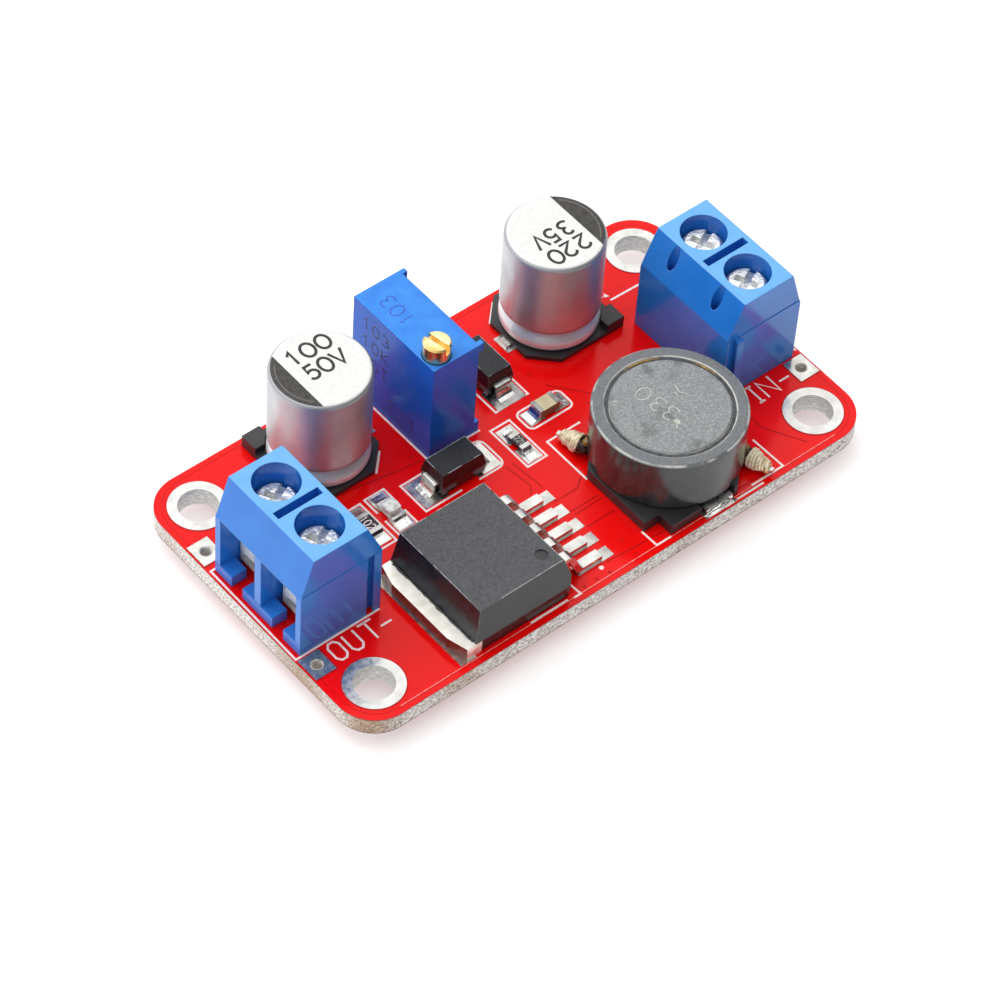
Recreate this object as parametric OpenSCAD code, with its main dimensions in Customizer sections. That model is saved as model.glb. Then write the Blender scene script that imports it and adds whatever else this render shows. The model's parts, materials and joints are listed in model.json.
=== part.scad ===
// Boost converter module: a voltage converter board with two screw terminal blocks.
// Millimetres. X runs along the board, output end at -X, Z is up and Z = 0 is at the tips of the pins.

/* [Board] */
// Length of the board
board_l = 50; // [49:0.5:60]
// Width of the board
board_w = 27.8; // [27.6:0.1:36]
// Thickness of the board
board_t = 1.6; // [1:0.1:2.4]
// Radius of the corners of the board
corner_r = 3.3; // [1:0.1:4]
// Distance of a mounting hole from the two edges beside it
hole_inset = 3.35; // [2.8:0.05:4]
// Bore of a mounting hole inside its plating
hole_d = 3.2; // [2:0.1:3.6]
// Width of the plated ring round a mounting hole
ring_w = 0.78; // [0.3:0.02:1]
// Wall of the plating in a hole
plating_t = 0.1; // [0.05:0.01:0.2]
// Thickness of the tinned copper on the board
land_t = 0.06; // [0.03:0.01:0.15]
// How far a land reaches beyond the metal soldered on it
land_margin = 0.15; // [0.05:0.01:0.2]
// How far the soldered pins stand out under the board
lead_drop = 1.5; // [1.2:0.1:3]
// Height of the solder cones under the board
solder_h = 0.9; // [0.5:0.1:1.1]
// Clearance between round pieces that are pressed or soldered together
fit_gap = 0.02; // [0.01:0.01:0.05]

/* [Wire lands] */
// Size of a drilled wire land along the board
wire_land_l = 1.9; // [1.6:0.1:2.2]
// Size of a drilled wire land across the board
wire_land_w = 2.2; // [1.6:0.1:2.6]
// Bore of a wire land
wire_hole_d = 0.9; // [0.6:0.05:1.1]
// Distance of the bore of a wire land from the end of the board
wire_land_inset = 1.1; // [1.1:0.05:1.3]
// Distance of a wire land from the middle of the board
wire_land_y = 6.7; // [6.7:0.05:7]

/* [Terminal blocks] */
// Distance between the two poles of a block
pole_pitch = 5.08; // [5:0.02:5.2]
// Depth of a block from its wire side to its back
block_depth = 7.5; // [7.2:0.1:7.9]
// Height of a block
block_h = 10; // [9.6:0.1:12]
// Distance of the output block from its end of the board
output_edge = 0.6; // [0.2:0.05:0.9]
// Distance of the input block from its end of the board
input_edge = 0.87; // [0.2:0.01:0.9]
// Position of the output block across the board
output_y = -0.2; // [-0.4:0.05:0.4]
// Position of the input block across the board
input_y = -0.35; // [-0.4:0.05:0.4]
// How far the wire side leans back up to the top
front_lean = 1.15; // [0.6:0.05:1.3]
// How far the back leans in up to the top
rear_lean = 1.4; // [0.8:0.05:1.5]
// Height at which the back begins to lean
rear_lean_z = 6.8; // [6.7:0.1:7.5]
// Height of the ceiling of the wire bays
bay_h = 6.3; // [6.3:0.05:6.6]
// Thickness of the shelf under a screw head
shelf_t = 0.4; // [0.3:0.05:0.6]
// Thickness of the side walls
side_wall = 0.6; // [0.5:0.05:0.7]
// Thickness of the wall between the poles
mid_wall = 0.74; // [0.6:0.02:0.9]
// Thickness of the rear wall
rear_wall = 1.85; // [1.8:0.05:2]
// Bore of a screw well
well_d = 3.7; // [3.6:0.05:4]
// Height of the two ledges in the mouth of a bay
ledge_h = 1.1; // [0.6:0.1:1.3]
// Depth of the ledges
ledge_depth = 1.4; // [1:0.1:1.4]
// Gap between the two ledges
ledge_gap = 1.3; // [0.8:0.1:2]
// Length of the slot in the top between the wells
top_slot_l = 4.1; // [3:0.1:4.4]
// Width of the slot in the top
top_slot_w = 0.68; // [0.4:0.02:0.8]
// Depth of the slot in the top
top_slot_depth = 1.6; // [0.8:0.1:2.4]
// Bore of the probe holes in the leaning back
probe_d = 0.9; // [0.6:0.05:1]
// Depth of the probe holes below the top
probe_depth = 5; // [4:0.1:6]
// Width of the dovetail at its mouth
dovetail_w = 0.6; // [0.4:0.05:0.7]
// Depth of the dovetail groove
dovetail_depth = 0.5; // [0.3:0.05:0.55]
// How much shorter the dovetail key is than the groove
dovetail_gap = 0.08; // [0.04:0.01:0.15]
// Step of the mould parting line round the sides
parting_step = 0.05; // [0.02:0.01:0.1]

/* [Wire clamps] */
// Diameter of a clamp screw's head
screw_head_d = 3.3; // [3:0.05:3.4]
// Height of a clamp screw's head
screw_head_h = 1.5; // [1.2:0.1:1.8]
// Diameter of a clamp screw's thread
screw_d = 2.5; // [2:0.1:2.5]
// Width of the slots in a clamp screw's head
screw_slot_w = 0.6; // [0.4:0.05:0.8]
// Depth of the slots in a clamp screw's head
screw_slot_depth = 0.7; // [0.4:0.05:1]
// Running clearance round the thread of a clamp screw
screw_gap = 0.06; // [0.03:0.01:0.08]
// Gap under a clamp screw's head
seat_gap = 0.03; // [0.02:0.01:0.05]
// How far the input screws are backed out of their seats
input_screw_lift = 0.65; // [0:0.05:0.75]
// Thickness of a cage's floor
cage_floor = 0.55; // [0.4:0.05:0.6]
// Thickness of a cage's sides
cage_side = 0.5; // [0.4:0.05:0.6]
// Thickness of a cage's threaded top
cage_top = 0.7; // [0.5:0.05:0.7]
// Clearance between a cage and the side wall of its bay
cage_gap = 0.14; // [0.1:0.01:0.3]
// Height of a cage's underside at rest
cage_rest = 0.75; // [0.75:0.05:0.8]
// Height of the fixed contact above the board
contact_z = 3.3; // [3.3:0.05:3.4]
// Thickness of the fixed contact
contact_t = 0.5; // [0.4:0.05:0.55]
// Clearance between a contact and the sides of its cage
contact_gap = 0.15; // [0.1:0.01:0.3]
// How far the lip of a contact hangs below it
lip_h = 1; // [0.6:0.05:1]
// Distance from the top of a contact to the top of its cage's opening at rest
cage_over = 0.95; // [0.85:0.05:0.95]
// Width of a block's solder pins
pin_w = 1; // [0.8:0.05:1.1]
// Clearance round a soldered pin in the board
pin_gap = 0.12; // [0.05:0.01:0.2]

/* [Trimmer] */
// Size of the trimmer along the board
trimmer_d = 4.83; // [4.7:0.05:5.2]
// Size of the trimmer across the board
trimmer_w = 9.53; // [9:0.05:9.9]
// Height of the trimmer's housing
trimmer_h = 10; // [9.6:0.1:12]
// Position of the trimmer along the board
trimmer_x = -2.55; // [-2.7:0.05:-2.4]
// Position of the trimmer across the board
trimmer_y = 8.4; // [8.2:0.05:8.6]
// Distance of the adjusting screw from the two faces beside it
trimmer_screw_inset = 1.27; // [1.25:0.01:1.35]
// Diameter of the adjusting screw's head
trimmer_head_d = 2.2; // [2:0.05:2.2]
// How far the adjusting screw stands above the housing
trimmer_head_rise = 1.45; // [0.8:0.05:2]
// Width of the adjusting screw's slot
trimmer_slot_w = 0.45; // [0.4:0.05:0.7]
// Depth of the adjusting screw's slot
trimmer_slot_depth = 0.7; // [0.4:0.05:1]
// Angle of the adjusting screw's slot
trimmer_slot_turn = 101; // [0:1:180]
// Diameter of the lead screw
trimmer_lead_d = 1.1; // [0.9:0.05:1.1]
// Running clearance round the adjusting screw
trimmer_run = 0.05; // [0.03:0.01:0.06]
// Thickness of the trimmer's walls
trimmer_wall = 0.42; // [0.36:0.02:0.44]
// Thickness of the trimmer's top
trimmer_top = 1.2; // [1.1:0.05:1.4]
// Thickness of the trimmer's floor
trimmer_floor = 0.6; // [0.5:0.05:0.7]
// Depth of the recess in the trimmer's back
trimmer_recess = 0.45; // [0.2:0.05:0.45]
// Height of the two ears at the top of the trimmer's back
trimmer_ear_h = 0.8; // [0.4:0.05:1.2]
// Height of the two feet at the bottom of the trimmer's back
trimmer_foot_h = 1.1; // [0.6:0.05:1.6]
// Thickness of the trimmer's cover
trimmer_cover_t = 0.35; // [0.3:0.05:0.4]
// Thickness of the seal round the adjusting screw
trimmer_seal_t = 0.24; // [0.2:0.02:0.3]
// Thickness of the ceramic element
trimmer_element_t = 0.6; // [0.4:0.05:0.65]
// Height of the carriage
trimmer_carriage_h = 1.9; // [1.5:0.1:1.9]
// Clearance between the carriage and the walls
trimmer_slide_gap = 0.08; // [0.06:0.01:0.1]
// Size of the carriage beyond the lead screw
trimmer_carriage_reach = 1.5; // [1.2:0.05:1.55]
// Thickness of the wiper spring
trimmer_wiper_t = 0.1; // [0.06:0.02:0.12]
// Distance between the trimmer's pins
trimmer_pin_pitch = 2.54; // [2.5:0.02:2.6]
// Diameter of the trimmer's pins
trimmer_pin_d = 0.5; // [0.4:0.05:0.55]

/* [Inductor] */
// Share of the spare length between the blocks that lies between inductor and input block
inductor_share = 0.16; // [0.1:0.01:0.2]
// Position of the inductor across the board
inductor_y = -7.1; // [-7.2:0.05:-6.9]
// Side of the square base
inductor_base_w = 12.2; // [12.1:0.05:12.5]
// Height of the base
inductor_base_h = 1; // [1:0.05:1.2]
// Height of the inductor
inductor_h = 5.9; // [5.2:0.05:8]
// Diameter of the shield ring
inductor_d = 12.1; // [11.8:0.05:12.3]
// Wall of the shield ring
inductor_shield_t = 1.05; // [0.8:0.05:1.05]
// Groove between the shield ring and the core
inductor_groove = 0.25; // [0.2:0.01:0.35]
// Thickness of the flanges of the core
inductor_flange_t = 1; // [0.8:0.05:1.2]
// Diameter of the hub of the core
inductor_hub_d = 4.4; // [3.6:0.1:5.4]
// Size of the square notches in two corners
inductor_notch = 1.45; // [0.8:0.05:1.6]
// Distance of the two slanting corners from the middle
inductor_slant = 5.7; // [5.6:0.05:5.9]
// Width of the two terminals
inductor_terminal_w = 2.7; // [2:0.1:2.8]
// Thickness of the terminals
inductor_terminal_t = 0.25; // [0.2:0.01:0.25]
// How far the wrapped arms stand out of the shield ring
inductor_arm_reach = 2.6; // [2:0.05:2.6]
// Width of the terminal arms
inductor_arm_w = 0.4; // [0.3:0.02:0.4]
// Diameter of the wire
inductor_wire_d = 0.26; // [0.22:0.01:0.28]
// Turns of wire round each arm
inductor_wraps = 9; // [4:1:9]
// Clearance between the base and the pieces in it
inductor_gap = 0.08; // [0.05:0.01:0.1]

/* [Capacitors] */
// Diameter of a can
can_d = 8; // [6.3:0.1:8.2]
// Height of a can above its land
can_h = 9.8; // [8:0.1:12]
// Depth of the crimped groove
can_groove = 0.45; // [0.2:0.05:0.5]
// Height of the crimped groove
can_groove_z = 2.2; // [2:0.1:2.6]
// Radius of the upper shoulder
can_shoulder = 0.4; // [0.2:0.05:0.6]
// How far the base stands out round the can
can_base_lip = 0.15; // [0.1:0.01:0.25]
// Thickness of the base under the can
can_base_t = 0.4; // [0.35:0.05:0.6]
// Height of the corner posts of the base
can_base_h = 1.1; // [0.8:0.05:1.4]
// Cut of the two slanting corners of the base
can_base_cut = 2; // [1.5:0.1:2.3]
// Gap between the can and the corner posts
can_gap = 0.08; // [0.04:0.01:0.15]
// Width of a capacitor's leads
can_lead_w = 0.95; // [0.7:0.05:1.2]
// Thickness of a capacitor's leads
can_lead_t = 0.25; // [0.15:0.01:0.3]
// How far the leads stand out of the base
can_lead_out = 0.55; // [0.3:0.05:0.6]
// Gap along the board between the output block and its capacitor
output_can_gap = 1.45; // [1.2:0.05:1.6]
// Position of the output capacitor across the board
output_can_y = 9.15; // [9.1:0.05:9.3]
// Gap along the board between the input block and its capacitor
input_can_gap = 0.93; // [0.9:0.01:1.2]
// Least gap along the board between a capacitor and the part inwards of it
can_clear = 0.9; // [0.5:0.05:1]
// Position of the input capacitor across the board
input_can_y = 9.15; // [9.1:0.05:9.3]

/* [Regulator] */
// Share of the spare length between the blocks that lies between output block and regulator
regulator_share = 0.206; // [0.19:0.002:0.23]
// Position of the regulator across the board
regulator_y = -8.1; // [-8.2:0.05:-7.9]
// Size of the body along the board
regulator_l = 9.15; // [8.8:0.05:9.3]
// Size of the body across the board
regulator_w = 10; // [9.6:0.05:10.4]
// Height of the body
regulator_h = 4.45; // [4:0.05:4.7]
// Draft of the body's sides from the lead line up
regulator_draft = 0.5; // [0.2:0.05:0.8]
// Thickness of the metal tab
regulator_tab_t = 1.27; // [1:0.01:1.4]
// How far the tab stands out of the body
regulator_tab_out = 1.3; // [0.8:0.05:1.5]
// Distance between the leads
regulator_pitch = 1.7; // [1.6:0.01:1.8]
// Number of leads
regulator_leads_n = 5; // [3:2:5]
// Width of a lead
regulator_lead_w = 0.82; // [0.6:0.02:0.9]
// Thickness of a lead
regulator_lead_t = 0.5; // [0.4:0.02:0.55]
// Height at which the leads leave the body
regulator_lead_z = 2.5; // [2.2:0.05:2.7]
// Distance of the upper bend of the leads from the body
regulator_knee = 0.95; // [0.8:0.05:1.05]
// Distance from the body at which the leads come down to their lands
regulator_foot = 1.9; // [1.8:0.05:2.1]
// How far the lands of the leads reach beyond them
regulator_land_out = 1.1; // [0.6:0.05:1.2]
// Cut of the tab's outer corners across the board
regulator_tab_cut = 1.8; // [1:0.1:2.4]
// How far the leads reach beyond the body
regulator_lead_out = 4.1; // [3.8:0.05:4.2]
// Distance of the first-lead dimple from the two edges beside it
regulator_dimple_in = 1.72; // [1.5:0.02:2]
// Diameter of the first-lead dimple
regulator_dimple_d = 1.1; // [0.8:0.05:1.4]

/* [Diodes] */
// Position of the output diode along the board
output_diode_x = -4.55; // [-4.8:0.05:-4.4]
// Position of the output diode across the board
output_diode_y = 1.28; // [1.1:0.02:1.4]
// Position of the input diode along the board
input_diode_x = 3.67; // [3.5:0.01:3.8]
// Position of the input diode across the board
input_diode_y = 7.75; // [7.6:0.05:8]
// Length of a diode's body
diode_l = 4.3; // [4:0.05:4.5]
// Width of a diode's body
diode_w = 2.6; // [2.4:0.05:2.7]
// Height of a diode's body
diode_h = 2.2; // [1.9:0.05:2.4]
// Draft of a diode's upper half
diode_draft = 0.22; // [0.1:0.02:0.3]
// Width of a diode's leads
diode_lead_w = 1.45; // [1.2:0.05:1.7]
// Thickness of a diode's leads
diode_lead_t = 0.2; // [0.15:0.01:0.25]
// Length of a diode's lands
diode_land_l = 2.25; // [1.8:0.05:2.3]
// Width of a diode's lands
diode_land_w = 2.75; // [2.4:0.05:2.8]
// How far a diode's leads stand out of the body
diode_lead_out = 0.4; // [0.3:0.02:0.5]

/* [Chip parts] */
// Length of a chip
chip_l = 2; // [1.8:0.05:2.1]
// Width of a chip
chip_w = 1.25; // [1.1:0.05:1.35]
// Height of a resistor
resistor_h = 0.5; // [0.4:0.02:0.6]
// Height of the ceramic capacitor
ceramic_h = 0.9; // [0.7:0.05:1.2]
// Height of the lamp's carrier
led_base_h = 0.35; // [0.25:0.01:0.5]
// Height of the lamp's lens above the carrier
led_lens_h = 0.5; // [0.3:0.02:0.7]
// Length of the metal ends of a chip
chip_end = 0.38; // [0.25:0.01:0.45]
// Thickness of the metal ends of a chip
chip_end_t = 0.05; // [0.03:0.01:0.08]
// Length of a chip's two lands from end to end
chip_lands_l = 3.95; // [3.4:0.05:4.05]
// Width of a chip's lands
chip_land_w = 1.48; // [1.3:0.02:1.5]
// Length of the feedback resistor
small_chip_l = 1.7; // [1.5:0.05:1.9]
// Width of the feedback resistor
small_chip_w = 0.9; // [0.8:0.05:1.2]
// Position of the lamp along the board
led_x = -10.5; // [-10.6:0.05:-10.4]
// Position of the lamp across the board
led_y = 1.35; // [1.2:0.05:1.4]
// Position of the lamp's resistor along the board
led_resistor_x = -12.85; // [-13.2:0.05:-12.75]
// Position of the lamp's resistor across the board
led_resistor_y = 1.2; // [1.1:0.05:1.4]
// Position of the feedback resistor along the board
feedback_place = 1.43; // [1.3:0.01:1.5]
// Least gap between the feedback resistor and the nearer wrapped arm of the inductor
feedback_clear = 0.3; // [0.2:0.05:0.6]
// Position of the feedback resistor across the board
feedback_y = 0.6; // [0.4:0.05:0.8]
// Position of the ceramic capacitor along the board
ceramic_x = 5.25; // [5.1:0.05:5.5]
// Position of the ceramic capacitor across the board
ceramic_y = 2.1; // [2:0.05:2.2]

/* [Hidden] */
$fn = 64;
eps = 0.05;
board_top = lead_drop + board_t;
hole_x = board_l / 2 - hole_inset;
hole_y = board_w / 2 - hole_inset;
wire_land_x = board_l / 2 - wire_land_inset;
block_w = 2 * pole_pitch;
block_front = -block_depth / 2;
block_rear = block_depth / 2;
output_x = block_depth / 2 + output_edge - board_l / 2;
input_x = board_l / 2 - input_edge - block_depth / 2;
output_back = output_x + block_depth / 2;
input_back = input_x - block_depth / 2;
row_spare = input_back - output_back - regulator_tab_out - regulator_l - regulator_lead_out - inductor_base_w;
regulator_x = output_back + row_spare * regulator_share + regulator_tab_out + regulator_l / 2;
well_x = (front_lean - rear_lean) / 2;
bay_rear = block_rear - rear_wall;
bay_in = mid_wall / 2;
bay_out = block_w / 2 - side_wall;
bay_mid = (bay_in + bay_out) / 2;
shelf_z = bay_h + shelf_t;
dovetail_x = block_rear - 1;
dovetail_h = bay_h + 0.3;
probe_x = block_rear - rear_lean / 2 - 0.25;
cage_half = min(pole_pitch / 2 - bay_in, bay_out - pole_pitch / 2) - cage_gap;
contact_half = cage_half - cage_side - contact_gap;
contact_top = contact_z + contact_t;
contact_x = bay_rear - contact_t / 2 - fit_gap;
lip_x = block_front + ledge_depth + 0.4;
cage_front = lip_x;
cage_back = contact_x - contact_t / 2 - contact_gap;
cage_roof = contact_top + cage_over;
screw_tip = contact_top + 0.15;
screw_seat = shelf_z + seat_gap;
screw_top = screw_seat + screw_head_h;
pin_hole_d = norm([pin_w, contact_t]) + 2 * pin_gap;
under = board_t + lead_drop;

trimmer_front = -trimmer_d / 2;
trimmer_back = trimmer_d / 2 - trimmer_recess;
trimmer_half = trimmer_w / 2;
trimmer_sx = trimmer_front + trimmer_screw_inset;
trimmer_sy = trimmer_screw_inset - trimmer_half;
trimmer_head_r = trimmer_head_d / 2;
trimmer_lead_r = trimmer_lead_d / 2;
trimmer_ceiling = trimmer_h - trimmer_top;
trimmer_neck_z = trimmer_ceiling + 0.35;
trimmer_seal_z = trimmer_neck_z + 0.35;
trimmer_mid = (trimmer_floor + trimmer_ceiling) / 2;
trimmer_cover_x = trimmer_back - trimmer_cover_t;
trimmer_element_x = trimmer_cover_x - trimmer_element_t;
trimmer_pin_x = trimmer_cover_x - trimmer_element_t / 2;
trimmer_carriage_x = trimmer_sx + trimmer_carriage_reach;
trimmer_element_z = trimmer_floor + 0.15;

inductor_half = inductor_base_w / 2;
inductor_x = input_back - row_spare * inductor_share - inductor_half;
inductor_shield_r = inductor_d / 2 - inductor_shield_t;
inductor_core_r = inductor_shield_r - inductor_groove;
inductor_arm_z = inductor_base_h * 0.6;
inductor_arm_t = inductor_terminal_t * 0.96;
inductor_tail_z = inductor_arm_z + inductor_arm_t / 2 + fit_gap;
inductor_tail = inductor_wire_d * 0.77;
inductor_wrap_r = norm([inductor_arm_w, inductor_arm_t]) / 2 + inductor_wire_d / 2 + fit_gap;
inductor_wrap_step = inductor_wire_d * 0.9;
inductor_arm_turn = -74;
inductor_arm_way = [cos(inductor_arm_turn), sin(inductor_arm_turn)];
inductor_arm_foot = inductor_d / 2 * [0.673, -0.352];
inductor_arm_out = arm_at(inductor_d / 2);
inductor_arm_end = inductor_arm_out + inductor_arm_reach;
inductor_coil_r = inductor_shield_r - inductor_groove * 0.92;
inductor_arm_edge = inductor_x - (inductor_arm_foot + inductor_arm_way * inductor_arm_end)[0]
    - inductor_wrap_r - inductor_wire_d / 2;
feedback_x = min(feedback_place, inductor_arm_edge - feedback_clear - chip_land_w / 2);

can_r = can_d / 2;
can_base_half = can_r + can_base_lip;
can_lead_in = can_r * 0.325;
can_lead_end = can_base_half + can_lead_out;
can_land_w = can_lead_w * 1.9;
output_can_x = min(output_back + output_can_gap + can_base_half,
    trimmer_x - trimmer_d / 2 - can_clear - can_base_half);
input_can_x = max(input_back - input_can_gap - can_base_half,
    input_diode_x + diode_w / 2 + can_clear + can_base_half);
regulator_front = regulator_l / 2;
regulator_land_w = regulator_lead_w + 0.22;
diode_mid_z = diode_h / 2;
lens_end = chip_end + 0.02;

// Flat helpers

// A box from one corner to the opposite one
module slab(a, b) {
    translate(a) cube([for (i = [0:2]) b[i] - a[i]]);
}

// A rectangle with round corners
module round_plate(l, w, r) {
    square([l - 2 * r, w], center = true);
    square([l, w - 2 * r], center = true);
    for (x = [-1, 1], y = [-1, 1])
        translate([x * (l / 2 - r), y * (w / 2 - r)]) circle(r);
}

// An outline drawn in X and Z, given a width along Y
module side_on(points, w) {
    translate([0, w / 2, 0])
        rotate([90, 0, 0])
            linear_extrude(w) polygon(points);
}

// An outline drawn in Y and Z, given a length along X
module end_on(points, l) {
    translate([-l / 2, 0, 0])
        rotate([90, 0, 90])
            linear_extrude(l) polygon(points);
}

function unit(v) = v / norm(v);
function left_of(v) = [-v[1], v[0]];
function heading(p, i) = left_of(unit(p[min(i, len(p) - 2) + 1] - p[min(i, len(p) - 2)]));
function mitre(p, i) =
    let (a = heading(p, max(i - 1, 0)), b = i == 0 ? heading(p, 0) : heading(p, i))
    let (c = i == len(p) - 1 ? a : b)
    (a + c) / (1 + a * c);
function bent_strip(p, t) = concat(
    [for (i = [0:len(p) - 1]) p[i] + mitre(p, i) * t / 2],
    [for (i = [len(p) - 1:-1:0]) p[i] - mitre(p, i) * t / 2]);
function round_one(a, p, b, r) =
    let (s = p + unit(a - p) * r, e = p + unit(b - p) * r)
    [for (k = [0:4]) let (t = k / 4) (1 - t) * (1 - t) * s + 2 * t * (1 - t) * p + t * t * e];
function rounded(p, r) = concat(
    [p[0]],
    [for (i = [1:len(p) - 2]) each round_one(p[i - 1], p[i], p[i + 1], r)],
    [p[len(p) - 1]]);

// Places on the board

module on_board(x, y, turn = 0) {
    translate([x, y, board_top]) rotate([0, 0, turn]) children();
}

module on_land(x, y, turn = 0) {
    translate([x, y, board_top + land_t]) rotate([0, 0, turn]) children();
}

module at_output() {
    on_board(output_x, output_y) children();
}

module at_input() {
    on_board(input_x, input_y, 180) children();
}

module at_trimmer() {
    on_board(trimmer_x, trimmer_y) children();
}

module at_inductor() {
    on_land(inductor_x, inductor_y) children();
}

module at_regulator() {
    on_land(regulator_x, regulator_y) children();
}

module at_mounting_holes() {
    for (x = [-1, 1], y = [-1, 1]) translate([x * hole_x, y * hole_y, 0]) children();
}

module at_wire_lands() {
    for (x = [-1, 1], y = [-1, 1]) translate([x * wire_land_x, y * wire_land_y, 0]) children();
}

module at_block_pins() {
    for (pole = [-1, 1]) {
        at_output() translate([contact_x, pole * pole_pitch / 2, 0]) children();
        at_input() translate([contact_x, pole * pole_pitch / 2, 0]) children();
    }
}

module at_trimmer_pins() {
    for (k = [-1:1]) at_trimmer() translate([trimmer_pin_x, k * trimmer_pin_pitch, 0]) children();
}

// Board, plating and solder

module circuit_board() {
    barrel_d = hole_d + 2 * (plating_t + fit_gap);
    wire_barrel_d = wire_hole_d + 2 * (plating_t + fit_gap);
    color("crimson")
    difference() {
        translate([0, 0, lead_drop]) linear_extrude(board_t) round_plate(board_l, board_w, corner_r);
        at_mounting_holes() cylinder(d = barrel_d, h = board_top + eps);
        at_wire_lands() cylinder(d = wire_barrel_d, h = board_top + eps);
        at_block_pins() translate([0, 0, -under]) cylinder(d = pin_hole_d, h = under + eps);
        at_trimmer_pins() translate([0, 0, -under]) cylinder(d = trimmer_pin_d + 2 * pin_gap, h = under + eps);
    }
}

// A ring on each face of the board, joined by the plated wall of the hole
module eyelet(bore_r, outer_r) {
    barrel_r = bore_r + plating_t;
    rotate_extrude() polygon([
        [bore_r, lead_drop - land_t],
        [outer_r, lead_drop - land_t],
        [outer_r, lead_drop],
        [barrel_r, lead_drop],
        [barrel_r, board_top],
        [outer_r, board_top],
        [outer_r, board_top + land_t],
        [bore_r, board_top + land_t]]);
}

module board_eyelets() {
    color("silver")
    at_mounting_holes() eyelet(hole_d / 2, hole_d / 2 + ring_w);
}

module land(x, y, l, w) {
    translate([x - l / 2, y - w / 2, board_top]) cube([l, w, land_t]);
}

// The two lands of a chip that lies along X
module chip_lands(l) {
    reach = chip_lands_l / 2;
    inner = l / 2 - chip_end - land_margin;
    for (s = [-1, 1])
        translate([s < 0 ? -reach : inner, -chip_land_w / 2, -land_t])
            cube([reach - inner, chip_land_w, land_t]);
}

module diode_lands() {
    inner = diode_l / 2 - 0.7;
    for (s = [-1, 1])
        translate([s < 0 ? -inner - diode_land_l : inner, -diode_land_w / 2, -land_t])
            cube([diode_land_l, diode_land_w, land_t]);
}

module can_lands() {
    for (s = [-1, 1])
        translate([s < 0 ? -can_lead_end - land_margin : can_lead_in - land_margin, -can_land_w / 2, -land_t])
            cube([can_lead_end - can_lead_in + 2 * land_margin, can_land_w, land_t]);
}

module solder_lands() {
    color("silver") {
        at_wire_lands() {
            eyelet(wire_hole_d / 2, wire_hole_d / 2 + 0.35);
            difference() {
                land(0, 0, wire_land_l, wire_land_w);
                cylinder(d = wire_hole_d, h = board_top + 1);
            }
        }
        at_regulator() {
            slab([-regulator_front - regulator_tab_out - land_margin, -regulator_w / 2 - land_margin, -land_t],
                 [-regulator_front, regulator_w / 2 + land_margin, 0]);
            slab([-regulator_front - eps, -regulator_w * 0.45, -land_t], [0, regulator_w * 0.45, 0]);
            for (k = [0:regulator_leads_n - 1])
                translate([regulator_front + regulator_foot - land_margin,
                           (k - (regulator_leads_n - 1) / 2) * regulator_pitch - regulator_land_w / 2, -land_t])
                    cube([regulator_lead_out - regulator_foot + land_margin + regulator_land_out,
                          regulator_land_w, land_t]);
        }
        at_inductor()
            for (turn = [0, 180]) rotate([0, 0, turn])
                slab([-inductor_terminal_w / 2 - 0.2, -inductor_half - 0.55, -land_t],
                     [inductor_terminal_w / 2 + 0.2, -3, 0]);
        on_land(output_can_x, output_can_y) can_lands();
        on_land(input_can_x, input_can_y) can_lands();
        on_land(output_diode_x, output_diode_y) diode_lands();
        on_land(input_diode_x, input_diode_y, 90) diode_lands();
        on_land(led_x, led_y, 90) chip_lands(chip_l);
        on_land(led_resistor_x, led_resistor_y, 90) chip_lands(chip_l);
        on_land(feedback_x, feedback_y, 90) chip_lands(small_chip_l);
        on_land(ceramic_x, ceramic_y) chip_lands(chip_l);
    }
}

// A hollow-faced wedge of solder against a metal end that stands at X = reach
module fillet_pair(reach, rise, out, w) {
    for (turn = [0, 180]) rotate([0, 0, turn])
        translate([reach, 0, 0])
            side_on([[0, 0], [out, 0], [out * 0.45, rise * 0.22], [out * 0.2, rise * 0.5], [0, rise]], w);
}

module solder_fillets() {
    out = (chip_lands_l - chip_l) * 0.42;
    small_out = (chip_lands_l - small_chip_l) * 0.42;
    color("silver") {
        on_land(led_x, led_y, 90) fillet_pair(chip_l / 2, led_base_h * 0.9, out, chip_w * 0.92);
        on_land(led_resistor_x, led_resistor_y, 90)
            fillet_pair(chip_l / 2, resistor_h * 0.9, out, chip_w * 0.92);
        on_land(feedback_x, feedback_y, 90)
            fillet_pair(small_chip_l / 2, resistor_h * 0.85, small_out, small_chip_w * 0.92);
        on_land(ceramic_x, ceramic_y) fillet_pair(chip_l / 2, ceramic_h * 0.6, out, chip_w * 0.92);
        on_land(output_diode_x, output_diode_y)
            fillet_pair(diode_l / 2 + diode_lead_out, diode_h * 0.25, 0.55, diode_lead_w);
        on_land(input_diode_x, input_diode_y, 90)
            fillet_pair(diode_l / 2 + diode_lead_out, diode_h * 0.25, 0.55, diode_lead_w);
        at_inductor() rotate([0, 0, 90])
            fillet_pair(inductor_half + 0.2, inductor_base_h * 0.5, 0.35, inductor_terminal_w * 0.95);
    }
}

// A cone of solder under the board round a pin
module solder_cone(inner_r, outer_r) {
    translate([0, 0, -board_t]) rotate_extrude() polygon([
        [inner_r, 0],
        [outer_r, 0],
        [inner_r + (outer_r - inner_r) * 0.4, -solder_h * 0.45],
        [inner_r + 0.08, -solder_h],
        [inner_r, -solder_h]]);
}

module solder_joints() {
    block_r = norm([pin_w, contact_t]) / 2 + fit_gap;
    trimmer_r = trimmer_pin_d / 2 + fit_gap;
    color("gainsboro") {
        at_block_pins() solder_cone(block_r, block_r + 0.75);
        at_trimmer_pins() solder_cone(trimmer_r, trimmer_r + 0.5);
    }
}

// Terminal blocks

// Side view of the housing, front at -X
module block_outline(w) {
    side_on([
        [block_front, 0],
        [block_front, bay_h],
        [block_front + front_lean, block_h],
        [block_rear - rear_lean, block_h],
        [block_rear, rear_lean_z],
        [block_rear, 0]], w);
}

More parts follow.
